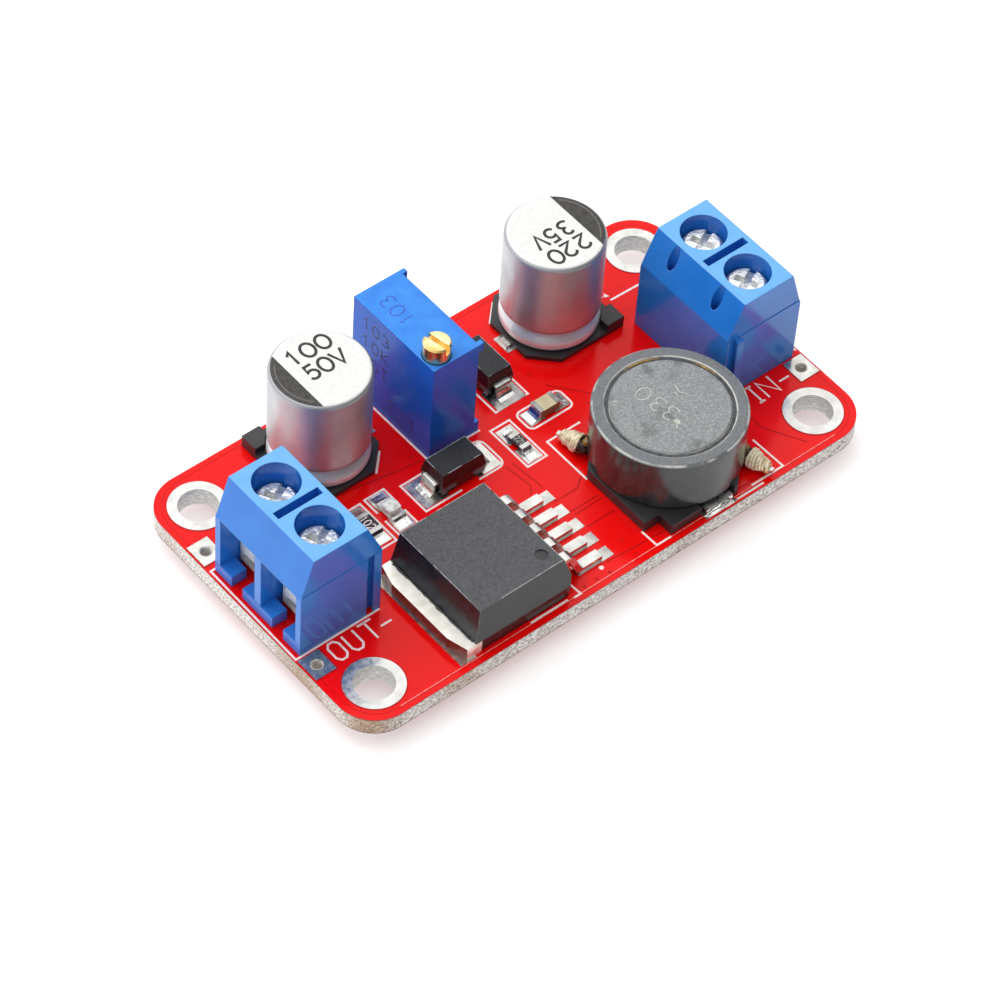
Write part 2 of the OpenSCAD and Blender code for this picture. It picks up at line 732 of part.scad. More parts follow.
// Space of one wire bay, with the two ledges left standing in its mouth
module wire_bay() {
    back_of_ledge = block_front + ledge_depth;
    slab([block_front - eps, bay_in, ledge_h], [bay_rear, bay_out, bay_h]);
    slab([back_of_ledge, bay_in, -eps], [bay_rear, bay_out, ledge_h + eps]);
    slab([block_front - eps, bay_mid - ledge_gap / 2, -eps],
         [back_of_ledge + eps, bay_mid + ledge_gap / 2, ledge_h + eps]);
}

// Dovetail that joins one block to the next, from Y = 0 outwards
module dovetail(depth, mouth, h) {
    linear_extrude(h) polygon([
        [dovetail_x - mouth / 2, -eps],
        [dovetail_x + mouth / 2, -eps],
        [dovetail_x + mouth / 2, 0],
        [dovetail_x + mouth / 2 + depth * 0.35, depth],
        [dovetail_x - mouth / 2 - depth * 0.35, depth],
        [dovetail_x - mouth / 2, 0]]);
}

module block_housing() {
    difference() {
        union() {
            intersection() {
                block_outline(block_w);
                slab([-block_depth, -block_w, -eps], [block_depth, block_w, dovetail_h]);
            }
            block_outline(block_w - 2 * parting_step);
            translate([0, block_w / 2, 0])
                dovetail(dovetail_depth - dovetail_gap, dovetail_w - 2 * dovetail_gap,
                         dovetail_h - dovetail_gap);
        }
        for (pole = [0, 1]) mirror([0, pole, 0]) {
            wire_bay();
            translate([well_x, pole_pitch / 2, shelf_z]) cylinder(d = well_d, h = block_h);
            translate([well_x, pole_pitch / 2, 0]) cylinder(d = screw_d + 2 * screw_gap, h = block_h);
            translate([probe_x, pole_pitch / 2, block_h - probe_depth])
                cylinder(d = probe_d, h = block_h, $fn = 32);
        }
        slab([well_x - top_slot_l / 2, -top_slot_w / 2, block_h - top_slot_depth],
             [well_x + top_slot_l / 2, top_slot_w / 2, block_h + eps]);
        translate([0, -block_w / 2, -eps])
            dovetail(dovetail_depth, dovetail_w, dovetail_h + eps);
    }
}

// Captive screw of one pole, standing at its place in the block
module clamp_screw(pole, lift = 0) {
    head_r = screw_head_d / 2;
    thread_r = screw_d / 2;
    translate([well_x, pole * pole_pitch / 2, lift])
    difference() {
        rotate_extrude() polygon([
            [0, screw_tip],
            [thread_r - 0.3, screw_tip],
            [thread_r, screw_tip + 0.3],
            [thread_r, screw_seat],
            [head_r, screw_seat],
            [head_r, screw_top - 0.35],
            [head_r - 0.3, screw_top],
            [0, screw_top]]);
        for (cut = [[25, head_r + eps], [115, head_r * 0.6]]) rotate([0, 0, cut[0]])
            slab([-cut[1], -screw_slot_w / 2, screw_top - screw_slot_depth],
                 [cut[1], screw_slot_w / 2, screw_top + eps]);
    }
}

// Cage of one pole, at its rest height
module clamp_cage(pole) {
    inner = cage_half - cage_side;
    translate([0, pole * pole_pitch / 2, 0])
    difference() {
        slab([cage_front, -cage_half, cage_rest], [cage_back, cage_half, cage_roof + cage_top]);
        slab([cage_front - eps, -inner, cage_rest + cage_floor], [cage_back + eps, inner, cage_roof]);
        translate([well_x, 0, cage_roof - eps]) cylinder(d = screw_d + 2 * screw_gap, h = cage_top + 2 * eps);
    }
}

// Fixed contact of one pole with its lip and its solder pin
module clamp_contact(pole) {
    plate_z = contact_z + contact_t / 2;
    path = rounded([
        [lip_x, contact_z - lip_h],
        [lip_x, plate_z],
        [contact_x, plate_z],
        [contact_x, 0]], 0.4);
    tip = contact_t * 0.3;
    translate([0, pole * pole_pitch / 2, 0]) {
        side_on(bent_strip(path, contact_t), 2 * contact_half);
        side_on([
            [contact_x - contact_t / 2, eps],
            [contact_x - contact_t / 2, tip - under],
            [contact_x - contact_t / 2 + tip, -under],
            [contact_x + contact_t / 2 - tip, -under],
            [contact_x + contact_t / 2, tip - under],
            [contact_x + contact_t / 2, eps]], pin_w);
    }
}

module output_housing() {
    color("royalblue") at_output() block_housing();
}

module output_positive_screw() {
    color("lightgray") at_output() clamp_screw(1);
}

module output_negative_screw() {
    color("lightgray") at_output() clamp_screw(-1);
}

module output_positive_cage() {
    color("gold") at_output() clamp_cage(1);
}

module output_negative_cage() {
    color("gold") at_output() clamp_cage(-1);
}

module output_positive_contact() {
    color("silver") at_output() clamp_contact(1);
}

module output_negative_contact() {
    color("silver") at_output() clamp_contact(-1);
}

module input_housing() {
    color("royalblue") at_input() block_housing();
}

module input_positive_screw() {
    color("lightgray") at_input() clamp_screw(-1, input_screw_lift);
}

module input_negative_screw() {
    color("lightgray") at_input() clamp_screw(1, input_screw_lift);
}

module input_positive_cage() {
    color("gold") at_input() clamp_cage(-1);
}

module input_negative_cage() {
    color("gold") at_input() clamp_cage(1);
}

module input_positive_contact() {
    color("silver") at_input() clamp_contact(-1);
}

module input_negative_contact() {
    color("silver") at_input() clamp_contact(1);
}

// Trimmer

module trimmer_housing() {
    wall_x = trimmer_front + trimmer_wall;
    wall_y = trimmer_half - trimmer_wall;
    color("dodgerblue") at_trimmer()
    difference() {
        union() {
            slab([trimmer_front, -trimmer_half, 0], [trimmer_back, trimmer_half, trimmer_h]);
            for (side = [0, 1]) mirror([0, side, 0])
                slab([trimmer_front, wall_y, 0], [trimmer_d / 2, trimmer_half, trimmer_h]);
        }
        slab([trimmer_back, -trimmer_half - eps, trimmer_foot_h],
             [trimmer_d / 2 + eps, trimmer_half + eps, trimmer_h - trimmer_ear_h]);
        slab([wall_x, -wall_y, trimmer_floor], [trimmer_back + eps, wall_y, trimmer_ceiling]);
        translate([trimmer_sx, trimmer_sy, trimmer_neck_z])
            cylinder(r = trimmer_head_r + trimmer_run, h = trimmer_h);
        translate([trimmer_sx, trimmer_sy, trimmer_floor * 0.4])
            cylinder(r = trimmer_lead_r + trimmer_run, h = trimmer_h);
        for (k = [-1:1]) translate([trimmer_pin_x, k * trimmer_pin_pitch, -eps])
            cylinder(d = trimmer_pin_d + 2 * fit_gap, h = trimmer_floor + 2 * eps, $fn = 32);
    }
}

module trimmer_cover() {
    wall_y = trimmer_half - trimmer_wall;
    color("steelblue") at_trimmer()
    slab([trimmer_cover_x, -wall_y, trimmer_floor], [trimmer_back, wall_y, trimmer_ceiling]);
}

module trimmer_screw() {
    top = trimmer_h + trimmer_head_rise;
    groove_r = trimmer_head_r - trimmer_seal_t;
    low = trimmer_seal_z - trimmer_seal_t / 2 - 0.03;
    high = trimmer_seal_z + trimmer_seal_t / 2 + 0.03;
    foot = trimmer_floor * 0.4 + trimmer_run;
    color("goldenrod") at_trimmer() translate([trimmer_sx, trimmer_sy, 0])
    difference() {
        rotate_extrude() polygon([
            [0, foot],
            [trimmer_lead_r, foot],
            [trimmer_lead_r, trimmer_neck_z + seat_gap],
            [trimmer_head_r, trimmer_neck_z + seat_gap],
            [trimmer_head_r, low],
            [groove_r, low],
            [groove_r, high],
            [trimmer_head_r, high],
            [trimmer_head_r, top - 0.12],
            [trimmer_head_r - 0.12, top],
            [0, top]]);
        rotate([0, 0, trimmer_slot_turn])
            slab([-trimmer_head_d, -trimmer_slot_w / 2, top - trimmer_slot_depth],
                 [trimmer_head_d, trimmer_slot_w / 2, top + eps]);
    }
}

module trimmer_seal() {
    color("black") at_trimmer() translate([trimmer_sx, trimmer_sy, trimmer_seal_z])
    rotate_extrude()
        translate([trimmer_head_r - trimmer_seal_t / 2 + fit_gap, 0]) circle(d = trimmer_seal_t, $fn = 24);
}

module trimmer_carriage() {
    low_x = trimmer_front + trimmer_wall + trimmer_slide_gap;
    low_y = trimmer_wall + trimmer_slide_gap - trimmer_half;
    color("ivory") at_trimmer() translate([0, 0, trimmer_mid])
    difference() {
        slab([low_x, low_y, -trimmer_carriage_h / 2],
             [trimmer_carriage_x, trimmer_sy + trimmer_carriage_reach, trimmer_carriage_h / 2]);
        translate([trimmer_sx, trimmer_sy, -trimmer_carriage_h])
            cylinder(r = trimmer_lead_r + trimmer_run, h = 2 * trimmer_carriage_h);
    }
}

module trimmer_wiper() {
    root_x = trimmer_carriage_x + trimmer_wiper_t / 2;
    tip_x = trimmer_element_x - trimmer_slide_gap - trimmer_wiper_t / 2;
    path = [[root_x, -0.7], [root_x, 0], [tip_x, 0.5], [tip_x, 0.8]];
    color("orange") at_trimmer() translate([0, trimmer_sy, trimmer_mid])
        side_on(bent_strip(path, trimmer_wiper_t), trimmer_carriage_reach);
}

module trimmer_element() {
    wall_y = trimmer_half - trimmer_wall;
    color("white") at_trimmer()
    slab([trimmer_element_x, 0.3 - wall_y, trimmer_element_z],
         [trimmer_cover_x, wall_y - 0.3, trimmer_ceiling - 0.15]);
}

module trimmer_pins() {
    color("silver") at_trimmer_pins()
        translate([0, 0, -under]) cylinder(d = trimmer_pin_d, h = under + trimmer_element_z, $fn = 32);
}

// Inductor

// How far along an arm the distance r from the middle of the inductor is reached
function arm_at(r) =
    let (f = inductor_arm_foot, b = f * inductor_arm_way)
    sqrt(b * b - f * f + r * r) - b;

// The line of an arm, X along it from its foot
module along_arm() {
    translate([inductor_arm_foot[0], inductor_arm_foot[1], 0]) rotate([0, 0, inductor_arm_turn]) children();
}

// One terminal with its arm, grown by a clearance when it cuts the base
module inductor_terminal(g) {
    half = inductor_terminal_w / 2;
    t = inductor_terminal_t + g;
    arm_half = inductor_arm_w / 2 + g;
    low = inductor_arm_z - inductor_arm_t / 2;
    high = inductor_arm_z + inductor_arm_t / 2;
    foot = inductor_arm_foot;
    slab([-half - g, -inductor_half - 0.2, 0], [half + g, foot[1] - 0.5 + g, t]);
    slab([-half - g, -inductor_half - 0.2, 0], [half + g, -inductor_half + 0.6 + g, 0.6]);
    slab([0, foot[1] - 1.17 - g, 0], [foot[0] + 0.28 + g, foot[1] - 0.27 + g, t]);
    along_arm() {
        slab([-0.1 - g, -arm_half, 0], [0.8 + g, arm_half, high]);
        slab([0, -arm_half, low - g], [inductor_arm_end, arm_half, high]);
    }
}

module inductor_base() {
    half = inductor_half;
    cut = inductor_slant * sqrt(2) - half;
    mouth = inductor_terminal_w / 2 + 0.3;
    color("dimgray") at_inductor()
    difference() {
        translate([-half, -half, 0]) cube([2 * half, 2 * half, inductor_base_h]);
        for (turn = [0, 180]) rotate([0, 0, turn]) {
            slab([-half - eps, -half - eps, -eps],
                 [-half + inductor_notch, -half + inductor_notch, inductor_base_h + eps]);
            translate([0, 0, -eps]) linear_extrude(inductor_base_h + 2 * eps)
                polygon([[half + eps, -cut], [half + eps, -half - eps], [cut, -half - eps]]);
            slab([-mouth, -half - eps, -eps], [mouth, -half + 0.7 + inductor_gap, inductor_base_h + eps]);
            inductor_terminal(inductor_gap);
            along_arm()
                slab([-0.1 - inductor_gap, -inductor_arm_w / 2 - inductor_gap, inductor_arm_z],
                     [half, inductor_arm_w / 2 + inductor_gap, inductor_base_h + eps]);
        }
    }
}

module inductor_terminals() {
    color("silver") at_inductor()
        for (turn = [0, 180]) rotate([0, 0, turn]) inductor_terminal(0);
}

module inductor_shield() {
    outer = inductor_d / 2;
    bevel = 0.2;
    color("gray") at_inductor()
    rotate_extrude() polygon([
        [inductor_shield_r, inductor_base_h],
        [outer - bevel, inductor_base_h],
        [outer, inductor_base_h + bevel],
        [outer, inductor_h - bevel],
        [outer - bevel, inductor_h],
        [inductor_shield_r + bevel / 2, inductor_h],
        [inductor_shield_r, inductor_h - bevel / 2]]);
}

module inductor_core() {
    foot_r = inductor_coil_r - inductor_tail - 0.16;
    hub_r = inductor_hub_d / 2;
    bevel = 0.15;
    color("slategray") at_inductor()
    rotate_extrude() polygon([
        [0, inductor_base_h],
        [foot_r, inductor_base_h],
        [foot_r, inductor_base_h + inductor_flange_t],
        [hub_r, inductor_base_h + inductor_flange_t],
        [hub_r, inductor_h - inductor_flange_t],
        [inductor_core_r, inductor_h - inductor_flange_t],
        [inductor_core_r, inductor_h - bevel],
        [inductor_core_r - bevel, inductor_h],
        [0, inductor_h]]);
}

// Side of a sleeve of turns, one bulge for each turn
function bulges(r) = [for (k = [0:inductor_wraps - 1]) for (i = [0:6])
    let (a = 15 + 25 * i)
    [inductor_wrap_r + r * sin(a), k * inductor_wrap_step - r * cos(a)]];

module inductor_winding() {
    hub_r = inductor_hub_d / 2 + fit_gap;
    low = inductor_base_h + inductor_flange_t;
    high = inductor_h - inductor_flange_t;
    wire_r = inductor_wire_d / 2;
    inner_r = inductor_wrap_r - wire_r;
    sleeve = (inductor_wraps - 1) * inductor_wrap_step;
    sleeve_start = inductor_arm_out + 0.25;
    tail_start = arm_at(inductor_coil_r - inductor_tail / 2);
    w = inductor_tail / 2;
    color("peru") at_inductor() {
        difference() {
            translate([0, 0, low]) cylinder(r = inductor_coil_r, h = high - low);
            cylinder(r = hub_r, h = inductor_h);
        }
        for (turn = [0, 180]) rotate([0, 0, turn]) along_arm() {
            slab([tail_start - w, -w, inductor_tail_z], [tail_start + w, w, low + 0.2]);
            slab([tail_start - w, -w, inductor_tail_z],
                 [sleeve_start + 0.3, w, inductor_tail_z + inductor_tail]);
            translate([sleeve_start, 0, inductor_arm_z]) rotate([0, 90, 0]) rotate_extrude()
                polygon(concat([[inner_r, sleeve], [inner_r, 0]], bulges(wire_r)));
        }
    }
}

// Capacitors

// A can, drawn round from the foot up
module can() {
    foot = can_base_t;
    groove_r = can_r - can_groove;
    flare = can_groove_z - foot;
    heel = [for (k = [0:6]) [can_r - can_groove * (1 - sin(15 * k)), foot + can_groove * (1 - cos(15 * k))]];
    rise = [for (k = [1:8])
        [can_r - can_groove * (1 - cos(22.5 * k)) / 2, foot + flare * (0.35 + 0.08 * k)]];
    waist = [for (k = [0:6])
        [groove_r + can_groove * sin(15 * k), can_groove_z + can_groove * (1 - cos(15 * k))]];
    shoulder = [for (k = [0:6])
        [can_r - can_shoulder * (1 - cos(15 * k)), can_h - can_shoulder * (1 - sin(15 * k))]];
    rotate_extrude() polygon(concat([[0, foot]], heel, rise, waist, shoulder, [[0, can_h]]));
}

module can_leads(g) {
    for (s = [-1, 1]) {
        from = s < 0 ? -can_lead_end : can_lead_in - g;
        to = s < 0 ? g - can_lead_in : can_lead_end;
        slab([from, -can_lead_w / 2 - g, 0], [to, can_lead_w / 2 + g, can_lead_t + g]);
    }
}

// Moulded base with two square and two slanting corners, the slanting ones at +X
module can_base() {
    half = can_base_half;
    outline = [[-half, -half], [half - can_base_cut, -half], [half, can_base_cut - half],
               [half, half - can_base_cut], [half - can_base_cut, half], [-half, half]];
    open = can_r * 0.62;
    difference() {
        linear_extrude(can_base_h) polygon(outline);
        translate([0, 0, can_base_t]) cylinder(r = can_r + can_gap, h = can_base_h);
        slab([-can_d, -open, can_base_t], [can_d, open, can_base_h + eps]);
        slab([-open, -can_d, can_base_t], [can_d, can_d, can_base_h + eps]);
        can_leads(fit_gap);
    }
}

module output_capacitor_can() {
    color("silver") on_land(output_can_x, output_can_y) can();
}

module output_capacitor_base() {
    color("black") on_land(output_can_x, output_can_y) can_base();
}

module output_capacitor_leads() {
    color("silver") on_land(output_can_x, output_can_y) can_leads(0);
}

module input_capacitor_can() {
    color("silver") on_land(input_can_x, input_can_y, 180) can();
}

module input_capacitor_base() {
    color("black") on_land(input_can_x, input_can_y, 180) can_base();
}

module input_capacitor_leads() {
    color("silver") on_land(input_can_x, input_can_y, 180) can_leads(0);
}

// Regulator

module regulator_tab_shape() {
    out = -regulator_front - regulator_tab_out;
    half = regulator_w / 2;
    linear_extrude(regulator_tab_t) polygon([
        [out, regulator_tab_cut - half],
        [out + 0.5, -half],
        [-regulator_front + 0.6, -half],
        [-regulator_front + 0.6, 1.2 - half],
        [regulator_front * 0.4, 1.2 - half],
        [regulator_front * 0.4, half - 1.2],
        [-regulator_front + 0.6, half - 1.2],
        [-regulator_front + 0.6, half],
        [out + 0.5, half],
        [out, half - regulator_tab_cut]]);
}

module regulator_lead_shapes() {
    t = regulator_lead_t;
    path = rounded([
        [regulator_front - 0.8, regulator_lead_z],
        [regulator_front + regulator_knee, regulator_lead_z],
        [regulator_front + regulator_foot, t / 2],
        [regulator_front + regulator_lead_out, t / 2]], 0.4);
    for (k = [0:regulator_leads_n - 1])
        translate([0, (k - (regulator_leads_n - 1) / 2) * regulator_pitch, 0])
            side_on(bent_strip(path, t), regulator_lead_w);
}

module regulator_body() {
    f = regulator_front;
    half = regulator_w / 2;
    d = regulator_draft;
    color("#404042") at_regulator()
    difference() {
        intersection() {
            side_on([[-f, 0], [-f, regulator_tab_t], [-f + d, regulator_h], [f - 1.3 * d, regulator_h],
                     [f, regulator_lead_z], [f - 0.15, 0]], 2 * half);
            end_on([[0.1 - half, 0], [-half, regulator_tab_t], [0.7 * d - half, regulator_h],
                    [half - 0.7 * d, regulator_h], [half, regulator_tab_t], [half - 0.1, 0]], 2 * f);
        }
        regulator_tab_shape();
        regulator_lead_shapes();
        translate([f - regulator_dimple_in, regulator_dimple_in - half, regulator_h - 0.12])
            cylinder(d = regulator_dimple_d, h = 1, $fn = 32);
    }
}

module regulator_tab() {
    color("silver") at_regulator() regulator_tab_shape();
}

module regulator_leads() {
    color("silver") at_regulator() regulator_lead_shapes();
}

// Diodes

module diode_lead_shapes() {
    t = diode_lead_t;
    out = diode_l / 2 + diode_lead_out - t / 2;
    path = rounded([
        [diode_l / 2 - 0.5, diode_mid_z],
        [out, diode_mid_z],
        [out, t / 2],
        [diode_l / 2 - 0.85, t / 2]], 0.16);
    for (turn = [0, 180]) rotate([0, 0, turn]) side_on(bent_strip(path, t), diode_lead_w);
}

module diode_body() {
    f = diode_l / 2;
    half = diode_w / 2;
    d = diode_draft;
    difference() {
        intersection() {
            side_on([[d / 2 - f, diode_lead_t], [-f, diode_mid_z], [d - f, diode_h], [f - d, diode_h],
                     [f, diode_mid_z], [f - d / 2, diode_lead_t]], diode_w);
            end_on([[d / 2 - half, 0], [-half, diode_mid_z], [d - half, diode_h], [half - d, diode_h],
                    [half, diode_mid_z], [half - d / 2, 0]], diode_l);
        }
        diode_lead_shapes();
    }
}

module output_diode_body() {
    color("#303032") on_land(output_diode_x, output_diode_y) diode_body();
}

module output_diode_leads() {
    color("silver") on_land(output_diode_x, output_diode_y) diode_lead_shapes();
}

module input_diode_body() {
    color("#303032") on_land(input_diode_x, input_diode_y, 90) diode_body();
}

module input_diode_leads() {
    color("silver") on_land(input_diode_x, input_diode_y, 90) diode_lead_shapes();
}

// Chip parts

// Metal ends folded over the top, the end face and the underside of a chip
module chip_ends(l, w, h) {
    t = chip_end_t;
    for (turn = [0, 180]) rotate([0, 0, turn])
        side_on([
            [l / 2 - chip_end, 0],
            [l / 2, 0],
            [l / 2, h],
            [l / 2 - chip_end, h],
            [l / 2 - chip_end, h - t],
            [l / 2 - t, h - t],
            [l / 2 - t, t],
            [l / 2 - chip_end, t]], w);
}

module chip_body(l, w, h) {
    t = chip_end_t;
    translate([t - l / 2, -w / 2, t]) cube([l - 2 * t, w, h - 2 * t]);
}

module led_body() {
    color("ivory") on_land(led_x, led_y, 90) chip_body(chip_l, chip_w, led_base_h);
}

module led_terminals() {
    color("silver") on_land(led_x, led_y, 90) chip_ends(chip_l, chip_w, led_base_h);
}

module led_lens() {
    f = chip_l / 2 - lens_end;
    half = chip_w / 2;
    low = led_base_h - chip_end_t;
    high = led_base_h + led_lens_h;
    color("salmon") on_land(led_x, led_y, 90)
    intersection() {
        side_on([[-f, low], [0.1 - f, high], [f - 0.1, high], [f, low]], chip_w);
        end_on([[-half, low], [0.1 - half, high], [half - 0.1, high], [half, low]], chip_l);
    }
}

module led_resistor_body() {
    color("#202020") on_land(led_resistor_x, led_resistor_y, 90) chip_body(chip_l, chip_w, resistor_h);
}

module led_resistor_terminals() {
    color("silver") on_land(led_resistor_x, led_resistor_y, 90) chip_ends(chip_l, chip_w, resistor_h);
}

module feedback_resistor_body() {
    color("#202020") on_land(feedback_x, feedback_y, 90) chip_body(small_chip_l, small_chip_w, resistor_h);
}

module feedback_resistor_terminals() {
    color("silver") on_land(feedback_x, feedback_y, 90) chip_ends(small_chip_l, small_chip_w, resistor_h);
}

module ceramic_body() {
    color("tan") on_land(ceramic_x, ceramic_y) chip_body(chip_l, chip_w, ceramic_h);
}

module ceramic_terminals() {
    color("silver") on_land(ceramic_x, ceramic_y) chip_ends(chip_l, chip_w, ceramic_h);
}

circuit_board();
board_eyelets();
solder_lands();
solder_fillets();
solder_joints();
output_housing();
output_positive_screw();
output_negative_screw();
output_positive_cage();
output_negative_cage();
output_positive_contact();
output_negative_contact();
input_housing();
input_positive_screw();
input_negative_screw();
input_positive_cage();
input_negative_cage();
input_positive_contact();
input_negative_contact();
trimmer_housing();
trimmer_cover();
trimmer_screw();
trimmer_seal();
trimmer_carriage();
trimmer_wiper();
trimmer_element();
trimmer_pins();
inductor_base();
inductor_terminals();
inductor_shield();
inductor_core();
inductor_winding();
output_capacitor_can();
output_capacitor_base();
output_capacitor_leads();
input_capacitor_can();
input_capacitor_base();
input_capacitor_leads();
regulator_body();
regulator_tab();
regulator_leads();
output_diode_body();
output_diode_leads();
input_diode_body();
input_diode_leads();
led_body();
led_terminals();
led_lens();
led_resistor_body();
led_resistor_terminals();
feedback_resistor_body();
feedback_resistor_terminals();
ceramic_body();
ceramic_terminals();
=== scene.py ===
"""The looks of a boost converter module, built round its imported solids. Lengths are in millimetres."""

import json
import math

import bmesh
import bpy
from mathutils import Matrix, Vector, noise


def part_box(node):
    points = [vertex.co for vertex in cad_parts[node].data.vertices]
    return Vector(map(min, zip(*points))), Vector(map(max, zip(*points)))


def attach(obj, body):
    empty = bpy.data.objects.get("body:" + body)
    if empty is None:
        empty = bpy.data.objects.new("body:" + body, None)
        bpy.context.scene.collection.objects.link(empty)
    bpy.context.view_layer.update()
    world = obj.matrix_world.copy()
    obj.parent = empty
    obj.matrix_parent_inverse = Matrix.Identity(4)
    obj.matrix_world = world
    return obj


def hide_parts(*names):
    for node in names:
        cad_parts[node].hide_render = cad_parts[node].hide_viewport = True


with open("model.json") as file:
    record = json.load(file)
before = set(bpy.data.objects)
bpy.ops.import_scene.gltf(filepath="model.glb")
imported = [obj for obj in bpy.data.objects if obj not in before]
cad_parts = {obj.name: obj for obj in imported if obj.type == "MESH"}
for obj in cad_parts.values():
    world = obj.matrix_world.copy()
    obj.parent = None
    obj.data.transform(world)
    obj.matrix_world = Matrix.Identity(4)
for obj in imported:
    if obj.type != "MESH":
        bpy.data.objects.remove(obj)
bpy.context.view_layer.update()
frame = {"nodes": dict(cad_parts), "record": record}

MM = 0.001
ROOT = "module"


def span(node):
    """Lowest and highest corner of a node, in millimetres."""
    low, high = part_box(node)
    return low / MM, high / MM


def middle(node):
    """Middle of a node's box, in millimetres."""
    low, high = span(node)
    return (low + high) / 2


BOARD_LOW, BOARD_HIGH = span("circuit_board")
BOARD_TOP = BOARD_HIGH.z
LAND_TOP = span("solder_lands")[1].z
COIL = middle("inductor_core")
COIL_R = (span("inductor_core")[1].x - span("inductor_core")[0].x) / 2
COIL_TOP = span("inductor_core")[1].z
RING_R = (span("inductor_shield")[1].x - span("inductor_shield")[0].x) / 2
RING_WALL = 1.05
BLOCK_TOP = span("output_housing")[1].z
# The winding's two ends, and on which side of the coil's middle they are
ENDS = (("near", 1), ("far", -1))


def mounts(ending):
    """Where the mounts with names of this ending are, in millimetres."""
    return [tuple(c / MM for c in mount["pos_m"][:2]) for mount in frame["record"]["mounts"]
            if mount["name"].endswith(ending)]


# Finishes

# Cloud values seldom leave this range
CLOUDS_LOW, CLOUDS_HIGH = 0.3, 0.7
# A face is level when its normal is steeper than this
STEEP = 0.7
# Dot of a corner's soft normal and its face's own, where the corner starts and where it is full
LEAN_FROM, LEAN_TO = 0.99, 0.9
# How far the roughness of a surface varies
WALL_SPREAD, TOP_SPREAD, METAL_SPREAD, INK_SPREAD = 0.08, 0.1, 0.18, 0.15
# Sockets of the colour mixer: its two colours, and the mix
MIX_FIRST, MIX_SECOND, MIX_OUT = 6, 7, 2


def rgb(code):
    """A display colour such as #E81212 as linear red, green and blue."""
    parts = [int(code[i:i + 2], 16) / 255 for i in (1, 3, 5)]
    return tuple(c / 12.92 if c <= 0.04045 else ((c + 0.055) / 1.055) ** 2.4 for c in parts)


